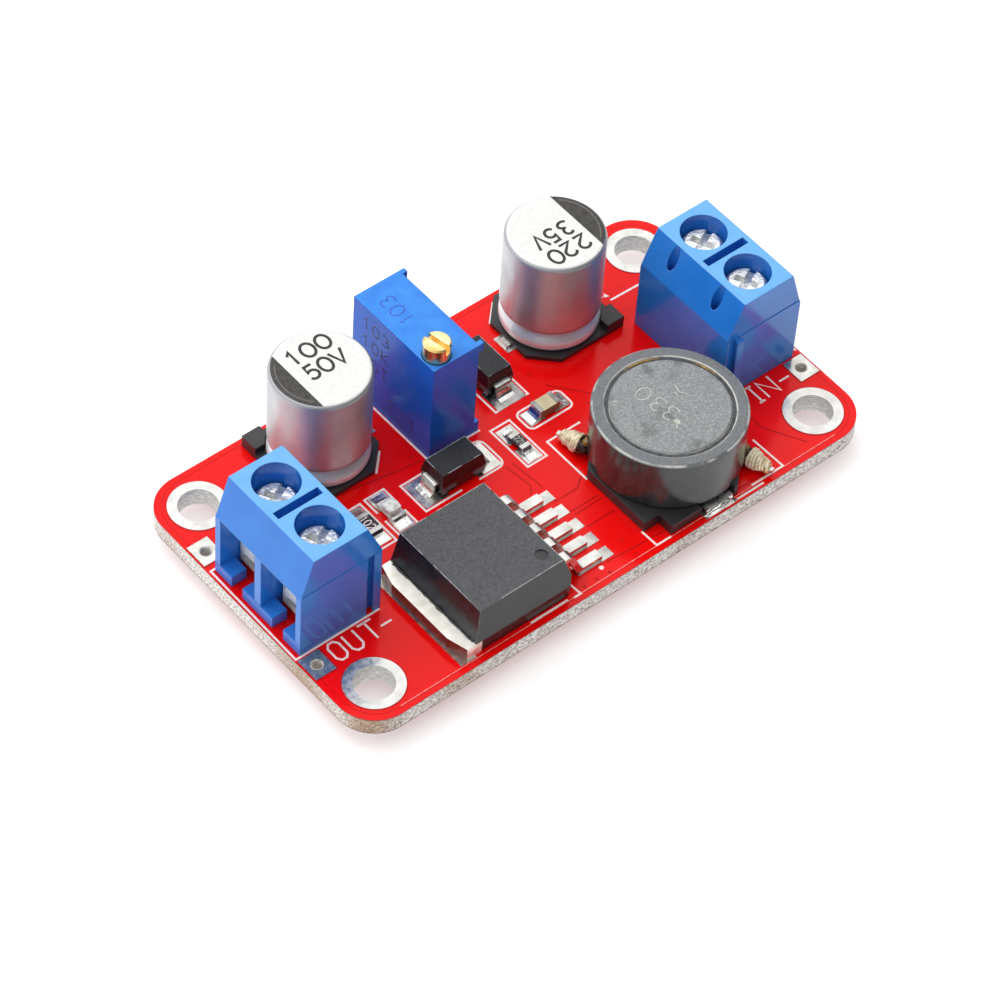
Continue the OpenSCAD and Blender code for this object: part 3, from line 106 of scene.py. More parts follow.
class Finish:
    """A procedural material whose textures are measured in millimetres of the frame."""

    def __init__(self, name, edge=0.0, **sockets):
        """With edge, corners look rounded by that radius."""
        self.name = name
        self.material = bpy.data.materials.new(name)
        self.material.use_nodes = True
        self.tree = self.material.node_tree
        self.shader = self.tree.nodes["Principled BSDF"]
        self.normal = None
        coords = self.node("ShaderNodeTexCoord")
        self.place = self.node("ShaderNodeMapping")
        self.place.inputs["Scale"].default_value = (1 / MM,) * 3
        self.join(coords.outputs["Object"], self.place.inputs["Vector"])
        if edge:
            soft = self.node("ShaderNodeBevel")
            soft.inputs["Radius"].default_value = edge * MM
            self.normal = self.rounded = soft.outputs[0]
            self.join(self.normal, self.shader.inputs["Normal"])
        for label, value in sockets.items():
            self.put(label.replace("_", " "), value)

    def node(self, kind):
        """A new node of the material."""
        return self.tree.nodes.new(kind)

    def join(self, source, target):
        """A link from an output to an input."""
        self.tree.links.new(source, target)

    def put(self, label, value):
        """Fills a socket of the shader."""
        self.fill(self.shader.inputs[label], value)

    def fill(self, socket, value):
        """Sets a socket to a number or a colour, or links it to a texture."""
        if isinstance(value, bpy.types.NodeSocket):
            self.join(value, socket)
        elif isinstance(value, tuple):
            socket.default_value = (*value, 1.0)
        else:
            socket.default_value = value

    def moved(self, size, stretch, seed):
        """Places for a texture of this grain size in millimetres, shifted by seed."""
        place = self.node("ShaderNodeMapping")
        place.inputs["Scale"].default_value = tuple(s / size for s in stretch)
        place.inputs["Location"].default_value = (seed, 0.7 * seed, -seed)
        self.join(self.place.outputs[0], place.inputs["Vector"])
        return place.outputs[0]

    def clouds(self, size, detail=3.0, stretch=(1, 1, 1), seed=0.0):
        """Values round 0.5 that drift over about size millimetres."""
        texture = self.node("ShaderNodeTexNoise")
        texture.inputs["Scale"].default_value = 1.0
        texture.inputs["Detail"].default_value = detail
        self.join(self.moved(size, stretch, seed), texture.inputs["Vector"])
        return texture.outputs[0]

    def flecks(self, size):
        """Distance to the nearest of a set of specks about size millimetres apart."""
        texture = self.node("ShaderNodeTexVoronoi")
        texture.inputs["Scale"].default_value = 1.0
        self.join(self.moved(size, (1, 1, 1), 0.0), texture.inputs["Vector"])
        return texture.outputs["Distance"]

    def ramp(self, value, *stops):
        """Colours along a value, each stop a value and a colour."""
        ramp = self.node("ShaderNodeValToRGB")
        band = ramp.color_ramp
        while len(band.elements) < len(stops):
            band.elements.new(0.5)
        for element, (at, colour) in zip(band.elements, stops):
            element.position = at
            element.color = (*colour, 1.0)
        self.join(value, ramp.inputs[0])
        return ramp.outputs[0]

    def shades(self, value, dark, light, start=CLOUDS_LOW, end=CLOUDS_HIGH):
        """Colours from dark to light along a value from start to end."""
        return self.ramp(value, (start, rgb(dark)), (end, rgb(light)))

    def scaled(self, value, low, high, start=CLOUDS_LOW, end=CLOUDS_HIGH):
        """Maps a texture's values from start..end to low..high."""
        ranged = self.node("ShaderNodeMapRange")
        for label, number in (("From Min", start), ("From Max", end), ("To Min", low), ("To Max", high)):
            ranged.inputs[label].default_value = number
        self.join(value, ranged.inputs["Value"])
        return ranged.outputs[0]

    def calc(self, kind, value, number=0.0):
        """A sum of a value with a number or with another value."""
        sums = self.node("ShaderNodeMath")
        sums.operation = kind
        self.join(value, sums.inputs[0])
        self.fill(sums.inputs[1], number)
        return sums.outputs[0]

    def mix(self, share, first, second):
        """First colour or value where share is 0, second where it is 1."""
        mixer = self.node("ShaderNodeMix")
        mixer.data_type = "RGBA"
        self.join(share, mixer.inputs[0])
        for socket, value in ((mixer.inputs[MIX_FIRST], first), (mixer.inputs[MIX_SECOND], second)):
            self.fill(socket, (value,) * 3 if isinstance(value, float) else value)
        return mixer.outputs[MIX_OUT]

    def height(self):
        """A point's own height in millimetres."""
        parts = self.node("ShaderNodeSeparateXYZ")
        self.join(self.place.outputs[0], parts.inputs[0])
        return parts.outputs["Z"]

    def radius(self, centre):
        """A point's distance from the upright line through centre, in millimetres."""
        flat = self.node("ShaderNodeVectorMath")
        flat.operation = "MULTIPLY"
        self.join(self.place.outputs[0], flat.inputs[0])
        flat.inputs[1].default_value = (1, 1, 0)
        apart = self.node("ShaderNodeVectorMath")
        apart.operation = "DISTANCE"
        self.join(flat.outputs[0], apart.inputs[0])
        apart.inputs[1].default_value = (centre.x, centre.y, 0)
        return apart.outputs["Value"]

    def band(self, value, at, half):
        """1 where a value is at, falling to 0 at half on both sides."""
        apart = self.calc("ABSOLUTE", self.calc("SUBTRACT", value, at))
        return self.scaled(apart, 1.0, 0.0, 0.0, half)

    def looks(self, axis):
        """How far a face looks along an axis, from -1 to 1."""
        shape = self.node("ShaderNodeNewGeometry")
        parts = self.node("ShaderNodeSeparateXYZ")
        self.join(shape.outputs["Normal"], parts.inputs[0])
        return parts.outputs[axis]

    def level(self):
        """1 on faces that look up or down, 0 on walls."""
        return self.calc("GREATER_THAN", self.calc("ABSOLUTE", self.looks("Z")), STEEP)

    def corners(self):
        """1 along corners that look rounded, 0 on flat faces, for a finish with an edge."""
        shape = self.node("ShaderNodeNewGeometry")
        lean = self.node("ShaderNodeVectorMath")
        lean.operation = "DOT_PRODUCT"
        self.join(self.rounded, lean.inputs[0])
        self.join(shape.outputs["Normal"], lean.inputs[1])
        return self.scaled(lean.outputs["Value"], 1.0, 0.0, LEAN_TO, LEAN_FROM)

    def bump(self, height, depth):
        """Relief of so many millimetres on top of any relief set before."""
        relief = self.node("ShaderNodeBump")
        relief.inputs["Distance"].default_value = depth * MM
        self.join(height, relief.inputs["Height"])
        if self.normal:
            self.join(self.normal, relief.inputs["Normal"])
        self.normal = relief.outputs[0]
        self.join(self.normal, self.shader.inputs["Normal"])


def moulding(name, dark, light, top_rough, wall_rough, grain=0.004, edge=0.1, top=None, above=0.0,
             gloss=0.5):
    """Moulded plastic with a fine grain, polished walls and duller tops, with a painted highlight that
    makes level faces paler above a height.
    """
    f = Finish(name, edge, Specular_IOR_Level=gloss)
    colour = f.shades(f.clouds(4.0, 4), dark, light)
    if top:
        # painted highlight: the paler top colours stand in for the light from above
        lit_top_colour = f.shades(f.clouds(1.2, 5), *top)
        high = f.calc("GREATER_THAN", f.height(), above)
        colour = f.mix(f.calc("MULTIPLY", f.level(), high), colour, lit_top_colour)
    f.put("Base Color", colour)
    f.put("Roughness", f.mix(f.level(), f.scaled(f.clouds(1.5), wall_rough, wall_rough + WALL_SPREAD),
                             f.scaled(f.clouds(0.6), top_rough, top_rough + TOP_SPREAD)))
    f.bump(f.clouds(0.22, 2), grain)
    return f


def metal(name, dark, light, rough, wave, depth, stretch=(1, 1, 1), share=1.0):
    """Metal with uneven shine and a shallow relief, duller with a smaller share."""
    f = Finish(name, Metallic=share)
    f.put("Base Color", f.shades(f.clouds(wave * 2, 4), dark, light))
    f.put("Roughness", f.scaled(f.clouds(wave, 4, stretch), rough, rough + METAL_SPREAD))
    f.bump(f.clouds(wave, 3, stretch), depth)
    return f


def board_finish():
    """Red mask with dust specks on the faces, painted shade on the underside, and cut glass fibre, brown in
    places, on the edges.
    """
    f = Finish("board_red", Specular_IOR_Level=0.2)
    mask = f.shades(f.clouds(7.0, 5), "#EA0606", "#F60A0A", 0.25, 0.75)
    dust_apart, dust_core, dust_edge = 2.6, 0.012, 0.022
    dust = f.scaled(f.flecks(dust_apart), 1.0, 0.0, dust_core, dust_edge)
    mask = f.mix(dust, mask, rgb("#F4C8C4"))
    # painted shade: the underside takes a darker red than the mask, which also cuts the red light bounced
    # onto the floor
    painted_dark_underside = f.calc("LESS_THAN", f.height(), BOARD_LOW.z + 0.02)
    mask = f.mix(painted_dark_underside, mask, rgb("#A80505"))
    fibre = f.clouds(0.2, 8, (1, 1, 1.5))
    bare = f.ramp(fibre, (0.3, rgb("#80726A")), (0.42, rgb("#C2B8B2")), (0.54, rgb("#E6E0DC")),
                  (0.64, rgb("#FFFFFF")))
    burnt = f.scaled(f.clouds(9.0, 2, seed=3), 0.0, 0.75, 0.52, 0.68)
    scorch_core, scorch_edge = 1.4, 3.6
    scorched = f.scaled(f.radius(BOARD_LOW), 0.85, 0.0, scorch_core, scorch_edge)
    burnt = f.calc("MAXIMUM", burnt, scorched)
    bare = f.mix(burnt, bare, f.shades(fibre, "#7A5238", "#C9AE90", 0.35, 0.65))
    mask_depth = 0.14
    under_mask = f.calc("MAXIMUM", f.band(f.height(), BOARD_TOP, mask_depth),
                        f.band(f.height(), BOARD_LOW.z, mask_depth))
    bare = f.mix(under_mask, bare, rgb("#6E2A20"))
    level = f.level()
    f.put("Base Color", f.mix(level, bare, mask))
    f.put("Roughness", f.mix(level, 0.8, f.scaled(f.clouds(2.0), 0.1, 0.2)))
    f.bump(f.clouds(1.1, 3), 0.005)
    return f


def ferrite_finish():
    """Pressed ferrite: a mottled grey top, dark polished walls, rusty rims, and pale rims that are partly
    chips and partly painted highlight.
    """
    f = Finish("ferrite", 0.08, Specular_IOR_Level=0.6)
    level = f.level()
    top = f.ramp(f.clouds(0.17, 6), (0.3, rgb("#707374")), (0.5, rgb("#848788")), (0.68, rgb("#9A9D9C")))
    smudge = f.scaled(f.clouds(1.7, 3, seed=6), 0.0, 0.7, 0.58, 0.72)
    top = f.mix(smudge, top, rgb("#4E5050"))
    r = f.radius(COIL)
    ring = f.shades(f.clouds(0.17, 6), "#585C5F", "#72767A", end=0.68)
    top = f.mix(f.scaled(r, 0.0, 1.0, COIL_R + 0.02, COIL_R + 0.1), top, ring)
    wall = f.shades(f.clouds(0.9, 5, (1, 1, 0.5)), "#222323", "#3A3B3B")
    grey = f.mix(level, wall, top)
    # pale bands along the rims of the ring and the core: partly chips, partly painted highlight
    glint_and_chip_clouds, glint_and_chip_fade = f.clouds(1.3, 6, seed=2), 0.16
    rim_glints_and_chips = None
    for at, half, least in ((RING_R - 0.12, 0.09, 0.4), (RING_R - RING_WALL + 0.04, 0.1, 0.3),
                            (COIL_R - 0.04, 0.05, 0.46)):
        glint_and_chip_share = f.scaled(glint_and_chip_clouds, 0.0, 1.0, least, least + glint_and_chip_fade)
        rim_glint = f.calc("MULTIPLY", f.band(r, at, half), glint_and_chip_share)
        rim_glints_and_chips = f.calc("MAXIMUM", rim_glints_and_chips, rim_glint) if rim_glints_and_chips else rim_glint
    grey = f.mix(rim_glints_and_chips, grey, rgb("#DAD9D2"))
    rusty = f.scaled(f.clouds(1.5, 4, seed=9), 0.0, 0.6, 0.6, 0.7)
    rust = f.calc("MULTIPLY", f.band(r, RING_R - 0.55, 0.5), rusty)
    f.put("Base Color", f.mix(rust, grey, rgb("#8A744A")))
    f.put("Roughness", f.mix(level, f.scaled(f.clouds(0.8), 0.14, 0.26),
                             f.scaled(f.clouds(0.5), 0.32, 0.46)))
    f.bump(f.clouds(0.2, 5), 0.004)
    return f


def package_finish(name, dark, light):
    """Moulded black package: a matt top, glossy walls and a painted highlight that makes the edges pale."""
    f = Finish(name, 0.07, Specular_IOR_Level=0.45)
    level = f.level()
    top = f.shades(f.clouds(0.16, 5), dark, light)
    wall = f.shades(f.clouds(0.8, 3), "#161617", "#242425")
    # painted highlight: pale along the rounded edges, broken up by clouds
    glinting = f.scaled(f.clouds(1.4, 5, seed=4), 0.0, 0.8, 0.42, 0.6)
    edge_glint_share = f.calc("MULTIPLY", f.corners(), glinting)
    f.put("Base Color", f.mix(edge_glint_share, f.mix(level, wall, top), rgb("#A2A4A8")))
    f.put("Roughness", f.mix(level, f.scaled(f.clouds(0.7), 0.16, 0.3),
                             f.scaled(f.clouds(0.3), 0.5, 0.66)))
    f.bump(f.clouds(0.12, 4), 0.006)
    return f


def eyelet_finish():
    """Plated rings: bright faces, and hole walls left rough and pale by the drill."""
    f = Finish("eyelet_tin")
    level = f.level()
    bright = f.shades(f.clouds(1.1, 4), "#C2C1BD", "#E2E1DD")
    drilled = f.shades(f.clouds(0.35, 5, (1, 1, 2.5)), "#B8BAB6", "#F0F0EC")
    f.put("Base Color", f.mix(level, drilled, bright))
    f.put("Metallic", f.mix(level, 0.3, 1.0))
    f.put("Roughness", f.mix(level, 0.45, f.scaled(f.clouds(0.55), 0.16, 0.34)))
    f.bump(f.clouds(0.5, 3), 0.012)
    return f


def tab_finish():
    """Tinned copper tab: pale, with its sheared end brown, partly bare copper and partly painted shade and
    reflection.
    """
    f = Finish("tab_tin", Metallic=0.85)
    pale = f.shades(f.clouds(1.0, 4), "#E6E2D6", "#FFFEF6")
    brown = f.shades(f.clouds(0.3, 5, (1, 0.4, 1)), "#5C3A34", "#8C665C")
    # faces looking to minus X: brown of the bare copper, darkened as painted shade and reflection of the
    # red board
    sheared_and_shaded = f.calc("LESS_THAN", f.looks("X"), -0.3)
    f.put("Base Color", f.mix(sheared_and_shaded, pale, brown))
    f.put("Roughness", f.scaled(f.clouds(0.5, 4), 0.3, 0.48))
    f.bump(f.clouds(0.5, 3), 0.005)
    return f


# Heights on a can: the rounding at its top, and above its low end the foot, the crimp and the wall
CAN_SHOULDER = 0.4
CAN_FOOT, CAN_CRIMP, CAN_WALL = 1.7, 2.2, 2.3


def can_finish():
    """Drawn aluminium, grey at the shoulder, with painted shade at the crimp and a painted highlight that
    makes the foot paler.
    """
    low, high = span("output_capacitor_can")
    drawn = (3, 3, 0.4)
    f = Finish("can_aluminium")
    bright = f.shades(f.clouds(3.0, 4), "#BCBDC0", "#D2D3D6")
    shoulder = f.scaled(f.height(), 0.0, 1.0, high.z - CAN_SHOULDER, high.z - 0.2)
    # painted highlight: the foot is paler and less metallic than the rest of the can
    foot = f.scaled(f.height(), 1.0, 0.0, low.z + CAN_FOOT, low.z + CAN_WALL)
    colour = f.mix(foot, f.mix(shoulder, bright, rgb("#ABACB0")), rgb("#E6E8EA"))
    # painted shade in the crimp groove
    crimp_shade = f.calc("MULTIPLY", f.band(f.height(), low.z + CAN_CRIMP, 0.2), 0.5)
    f.put("Base Color", f.mix(crimp_shade, colour, rgb("#6A686C")))
    f.put("Metallic", f.mix(foot, 0.8, 0.4))
    f.put("Roughness", f.mix(foot, f.scaled(f.clouds(1.6, 4, drawn), 0.4, 0.48),
                             f.scaled(f.clouds(0.8), 0.28, 0.38)))
    f.bump(f.clouds(1.6, 3, drawn), 0.001)
    return f


def lens_finish():
    """Cast resin, glossy and milky."""
    f = Finish("lens_clear", 0.15, Roughness=0.06, Coat_Weight=0.6)
    f.put("Base Color", f.ramp(f.clouds(0.3), (0.35, rgb("#C4C8BC")), (0.5, rgb("#F4F5EE")),
                               (0.7, rgb("#FFFFFF"))))
    f.bump(f.clouds(0.4), 0.06)
    return f


def print_finish(name, dark, light, rough=0.55, gloss=0.5):
    """Ink, resin, worn spots and painted highlights, uneven in places."""
    f = Finish(name, Specular_IOR_Level=gloss)
    f.put("Base Color", f.shades(f.clouds(0.35, 5), dark, light, end=0.6))
    f.put("Roughness", f.scaled(f.clouds(0.5), rough, rough + INK_SPREAD))
    return f


FINISH = {finish.name: finish for finish in (
    board_finish(),
    metal("tin", "#B6B5B0", "#DEDDD8", 0.16, 0.55, 0.012),
    metal("solder", "#D2D1CE", "#FAFAF6", 0.1, 0.5, 0.05),
    # the top colours of block_blue, trimmer_blue and ceramic_tan are painted highlights on their level
    # faces
    moulding("block_blue", "#2272CC", "#2C7ED8", 0.34, 0.1,
             top=("#5FA8E6", "#6AB0EC"), above=BLOCK_TOP - 1.0),
    metal("screw_steel", "#DCDDDC", "#FBFBF7", 0.18, 0.3, 0.06, share=0.7),
    metal("cage_steel", "#CDCDC6", "#F2F2EA", 0.3, 0.6, 0.01, share=0.5),
    metal("contact_tin", "#D8D8D0", "#F6F6EE", 0.28, 0.6, 0.01, share=0.6),
    moulding("trimmer_blue", "#1A5AC6", "#2468D6", 0.36, 0.16, 0.012,
             top=("#347FDE", "#4090EA"), gloss=0.2),
    metal("screw_brass", "#E4C076", "#FFEDBE", 0.16, 0.5, 0.006, (0.3, 0.3, 5)),
    moulding("seal_rubber", "#1C1C1C", "#2A2A2A", 0.6, 0.6),
    moulding("carriage_plastic", "#D6D2C4", "#E6E2D6", 0.4, 0.4),
    metal("wiper_brass", "#B98C3C", "#DDB467", 0.25, 0.8, 0.004),
    moulding("ceramic_white", "#DEDCD2", "#EEECE4", 0.5, 0.5),
    moulding("base_black", "#1B1B1C", "#343436", 0.42, 0.3, 0.014),
    ferrite_finish(),
    metal("winding_copper", "#C49C4E", "#FBF0CC", 0.22, 0.3, 0.03),
    can_finish(),
    package_finish("package_black", "#3A3B3D", "#56575A"),
    lens_finish(),
    moulding("resistor_black", "#161617", "#272729", 0.22, 0.22, edge=0.05),
    moulding("ceramic_tan", "#7C4E26", "#96642F", 0.35, 0.35, edge=0.05,
             top=("#C4B68C", "#DCD2B0")),
)}
SILK = print_finish("silk_white", "#F8DEDA", "#FFF2EF")
INK = print_finish("ink_dark", "#211F1D", "#33302E")
SEGMENT = print_finish("segment_grey", "#1E1C1A", "#3C3936", 0.4)
SEGMENT_GLINT = print_finish("segment_glint", "#55524E", "#6A6762", 0.4)
CAN_WHITE = print_finish("can_white", "#DEDEDC", "#E6E6E4", 0.35)
MASK_EDGE = print_finish("mask_edge", "#B40505", "#C80808", 0.25, 0.15)
MASK_GLINT = print_finish("mask_glint", "#FF5A50", "#FFA89E", 0.25)
# painted highlight for the package edges
EDGE_GLINT = print_finish("edge_glint_grey", "#5A5C60", "#A6A8AC", 0.4)
FILLER = print_finish("filler_grey", "#1E2022", "#46494C", 0.5)
ENGRAVED_TOP = print_finish("engraved_blue", "#1C58BA", "#2768CA", 0.4)
ENGRAVED_SIDE = print_finish("engraved_navy", "#0A1E5A", "#123076", 0.4)
SCRATCH = print_finish("scratch_pale", "#A4A69E", "#CBCCC2", 0.7)
FLUX = print_finish("flux_brown", "#120A06", "#3B1F0E", 0.12)
GLUE = print_finish("glue_amber", "#6E5426", "#A5843F", 0.2)
TINNED_WIRE = print_finish("wire_cream", "#CBB078", "#FFF6DC", 0.14)
TAB = tab_finish()
DIODE = package_finish("diode_black", "#1C1C1F", "#2C2D31")
BARREL = print_finish("barrel_grey", "#A29D94", "#D8D3CA", 0.25)
EYELET = eyelet_finish()
DIMPLE = print_finish("dimple_black", "#1B1C1E", "#303235", 0.35)

for part in frame["record"]["subparts"]:
    node = frame["nodes"][part["node"]]
    node.data.materials.clear()
    node.data.materials.append(FINISH[part["material_slot"]].material)
for name, finish in (("regulator_tab", TAB), ("board_eyelets", EYELET), ("output_diode_body", DIODE),
                     ("input_diode_body", DIODE)):
    frame["nodes"][name].data.materials[0] = finish.material

# Pieces in mesh code


def shown(name, data):
    """A new object in the scene."""
    obj = bpy.data.objects.new(name, data)
    bpy.context.scene.collection.objects.link(obj)
    return obj


def made(name, verts, faces, finish):
    """A new mesh object from points in millimetres."""
    mesh = bpy.data.meshes.new(name)
    mesh.from_pydata([tuple(c * MM for c in v) for v in verts], [], faces)
    mesh.materials.append(finish.material)
    return shown(name, mesh)


def piece(name, verts, faces, finish, smooth=False):
    """A new piece that rides on the module's own body."""
    obj = made(name, verts, faces, finish)
    mesh = obj.data
    shape = bmesh.new()
    shape.from_mesh(mesh)
    bmesh.ops.recalc_face_normals(shape, faces=shape.faces)
    shape.to_mesh(mesh)
    shape.free()
    for polygon in mesh.polygons:
        polygon.use_smooth = smooth
    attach(obj, ROOT)
    return obj


def arc(x, y, wide, high, start, end, steps=9):
    """Points on an ellipse from one angle to another, in degrees."""
    turns = [math.radians(start + (end - start) * k / steps) for k in range(steps + 1)]
    return [(x + wide * math.cos(a), y + high * math.sin(a)) for a in turns]


def circle(x, y, r, steps=12):
    """Points all round a circle."""
    return arc(x, y, r, r, 0, 360 * (steps - 1) / steps, steps - 1)


# Strokes of each letter in a box one wide and one high, those of the round letters closed
LETTERS = {
    "0": [circle(0.5, 0.5, 0.5, 20)],
    "1": [[(0.15, 0.76), (0.55, 1.0), (0.55, 0.0)]],
    "2": [arc(0.5, 0.7, 0.5, 0.3, 165, -35) + [(0.0, 0.0), (1.0, 0.0)]],
    "3": [arc(0.45, 0.74, 0.45, 0.26, 150, -90) + arc(0.45, 0.24, 0.55, 0.24, 90, -150)[1:]],
    "5": [[(0.92, 1.0), (0.16, 1.0), (0.08, 0.55)] + arc(0.44, 0.32, 0.54, 0.32, 125, -150)],
    "K": [[(0.0, 0.0), (0.0, 1.0)], [(1.0, 1.0), (0.05, 0.45), (1.0, 0.0)]],
    "V": [[(0.0, 1.0), (0.5, 0.0), (1.0, 1.0)]],
    "O": [[(0.28, 0.0), (0.72, 0.0), (1.0, 0.2), (1.0, 0.8), (0.72, 1.0), (0.28, 1.0), (0.0, 0.8),
           (0.0, 0.2)]],
    "U": [[(0.0, 1.0), (0.0, 0.2), (0.28, 0.0), (0.72, 0.0), (1.0, 0.2), (1.0, 1.0)]],
    "T": [[(0.0, 1.0), (1.0, 1.0)], [(0.5, 1.0), (0.5, 0.0)]],
    "I": [[(0.0, 0.0), (1.0, 0.0)], [(0.5, 0.0), (0.5, 1.0)], [(0.0, 1.0), (1.0, 1.0)]],
    "N": [[(0.0, 0.0), (0.0, 1.0), (1.0, 0.0), (1.0, 1.0)]],
    "-": [[(0.0, 0.42), (1.0, 0.42)]],
    "+": [[(0.0, 0.42), (1.0, 0.42)], [(0.5, 0.1), (0.5, 0.74)]],
}
ROUND_LETTERS = "0O"


class Print:
    """Print on one flat face: thin raised strokes and patches gathered in one mesh."""

    # The least divisor at a sharp corner, so that its point does not run out
    MITRE = 0.4

    def __init__(self, origin, right=(1, 0, 0), up=(0, 1, 0), lift=0.015):
        self.origin, self.right, self.up = Vector(origin), Vector(right), Vector(up)
        self.out = self.right.cross(self.up)
        self.lift = lift
        self.verts, self.faces = [], []

    def point(self, u, v, out):
        """A place on the face, raised by out."""
        return self.origin + self.right * u + self.up * v + self.out * out

    def patch(self, outline):
        """A thin plate with this outline."""
        first, n = len(self.verts), len(outline)
        self.verts += [self.point(u, v, out) for out in (0.0, self.lift) for u, v in outline]
        self.faces += [tuple(first + k for k in range(n)), tuple(first + n + k for k in range(n))]
        for k in range(n):
            after = (k + 1) % n
            self.faces.append((first + k, first + after, first + n + after, first + n + k))

    def stroke(self, path, width, closed=False):
        """A line of one width with mitred corners."""
        points = [Vector(p) for p in path]
        n = len(points)
        ways = [(points[(k + 1) % n] - points[k]).normalized() for k in range(n)]
        first = len(self.verts)
        for k, p in enumerate(points):
            leaving = ways[k] if closed or k < n - 1 else ways[k - 1]
            coming = ways[k - 1] if closed or k > 0 else ways[k]
            a, b = Vector((-coming.y, coming.x)), Vector((-leaving.y, leaving.x))
            side = (a + b) / max(1 + a.dot(b), self.MITRE) * width / 2
            for share, out in ((1, 0.0), (-1, 0.0), (-1, self.lift), (1, self.lift)):
                q = p + side * share
                self.verts.append(self.point(q.x, q.y, out))
        for k in range(n if closed else n - 1):
            a, b = first + 4 * k, first + 4 * ((k + 1) % n)
            self.faces += [(a + j, a + (j + 1) % 4, b + (j + 1) % 4, b + j) for j in range(4)]
        if not closed:
            last = first + 4 * (n - 1)
            self.faces += [tuple(first + j for j in range(4)), tuple(last + j for j in range(4))]

    def box(self, x0, y0, x1, y1, width, round_by=0.0):
        """An outline with four corners, round or sharp."""
        if round_by:
            corners = ((x1, y1, 0), (x0, y1, 90), (x0, y0, 180), (x1, y0, 270))
            path = []
            for x, y, turn in corners:
                sx = round_by if x == x1 else -round_by
                sy = round_by if y == y1 else -round_by
                path += arc(x - sx, y - sy, round_by, round_by, turn, turn + 90, 4)
        else:
            path = [(x0, y0), (x1, y0), (x1, y1), (x0, y1)]
        self.stroke(path, width, True)

    def words(self, letters, low, high, width):
        """Letters given as a character, its left end and its width."""
        for character, left, wide in letters:
            for path in LETTERS[character]:
                placed = [(left + u * wide, low + v * (high - low)) for u, v in path]
                self.stroke(placed, width, character in ROUND_LETTERS)

    def build(self, name, finish):
        """Makes one piece of all that was drawn."""
        piece(name, self.verts, self.faces, finish)


# Legend and traces on the board

SILK_W = 0.17
LABEL_NEAR, LABEL_FAR, LABEL_H = -7.45, 5.75, 1.75
SILK_PATHS = (
    # terminal blocks
    [(-17.0, -5.38), (-24.84, -5.38), (-24.74, 4.98), (-17.0, 4.98)],
    [(16.7, 7.68), (19.6, 7.6), (19.6, 5.2)],
    [(24.8, -5.1), (24.8, 4.6)],
    # inductor
    [(6.6, -0.5), (3.3, -0.5), (3.3, -5.2)],
    [(3.25, -11.6), (3.3, -13.3), (4.7, -13.3)],
    [(16.0, -9.9), (16.1, -13.25), (12.9, -13.25)],
    [(16.05, -2.6), (16.05, -0.5), (13.2, -0.5)],
    [(11.1, -13.6), (13.8, -13.6)],
    # trimmer
    [(-0.05, 3.52), (-5.08, 3.58), (-5.12, 13.3), (0.0, 13.3)],
    # regulator
    [(-4.35, -12.0), (-4.25, -13.35), (-4.9, -13.35)],
    [(-9.0, -13.22), (-5.4, -13.22)],
    # can capacitors
    [(-7.46, 6.54), (-9.05, 4.94)],
    [(-7.3, 11.5), (-8.92, 13.09)],
    [(7.54, 11.5), (9.17, 13.09)],
    # front diode, open in the middle of its long sides
    [(-5.6, 2.85), (-8.38, 2.85), (-8.38, -0.25), (-4.9, -0.25)],
    [(-3.2, -0.25), (-1.4, -0.25)] + arc(-1.25, 0.4, 0.65, 0.65, -80, 0, 4)
    + arc(-1.25, 2.2, 0.65, 0.65, 0, 80, 4) + [(-1.6, 2.85)],
    # rear diode
    [(2.06, 7.0), (2.06, 4.14), (5.27, 4.14), (5.27, 6.1)],
    [(2.06, 9.0), (2.06, 11.6), (5.27, 11.6), (5.27, 9.4)],
    # lamp
    [(-11.42, 0.9), (-11.42, -0.75), (-9.57, -0.75), (-9.57, 0.9)],
    [(-11.42, 1.8), (-11.42, 3.42), (-9.57, 3.42), (-9.57, 1.8)],
)
# A dot beside the regulator and a mark beside the input can
SILK_PATCHES = (circle(-1.43, -12.4, 0.2), [(16.45, 8.2), (16.9, 8.05), (16.75, 8.55)])
# Boxes round the chips: two corners and the rounding
SILK_BOXES = ((-13.75, -1.05, -11.9, 3.35, 0.0), (0.52, -1.53, 2.4, 2.95, 0.0), (3.07, 1.1, 7.4, 3.12, 0.5))
TRACE_PATHS = (
    [(-0.8, -0.5), (-0.5, -3.0), (-0.95, -3.7)],
    [(-0.2, -0.5), (0.1, -3.2), (0.1, -3.75)],
    [(3.1, -4.7), (2.2, -5.4), (-0.1, -5.4)],
    [(3.0, -6.9), (-0.6, -6.85)],
    [(3.1, -7.25), (0.3, -7.3)],
    [(3.0, -8.75), (0.3, -8.75)],
    [(15.4, -13.05), (2.4, -12.45), (-0.8, -12.2)],
    [(-16.6, 5.3), (-12.4, 4.95), (-5.3, 3.8)],
    [(6.9, 4.0), (9.2, 1.2), (16.2, 1.0)],
    [(8.2, 0.7), (10.4, -0.6)],
    [(17.4, -5.6), (17.4, -9.4), (19.2, -12.6)],
)
VIAS = ((1.5, -11.4), (1.5, -13.0), (-5.9, 4.6), (0.2, 4.3), (6.6, 5.6), (16.9, -1.2), (-15.6, -4.6))
FILLED_VIAS = ((-1.2, -13.1), (-2.4, -13.0), (-3.6, -13.0))
VIA_R, VIA_W, FILLED_R = 0.16, 0.07, 0.15
HOLE_RING_R, HOLE_RING_W, WIRE_HOLE_R = 2.43, 0.1, 0.45
LAND_X, LAND_Y, LAND_W = 1.0, 1.15, 0.08
TRACE_W, EDGE_W, EDGE_IN, EDGE_ROUND = 0.13, 0.06, 0.5, 2.9
GLINT_IN, GLINT_END = 0.07, 3.6


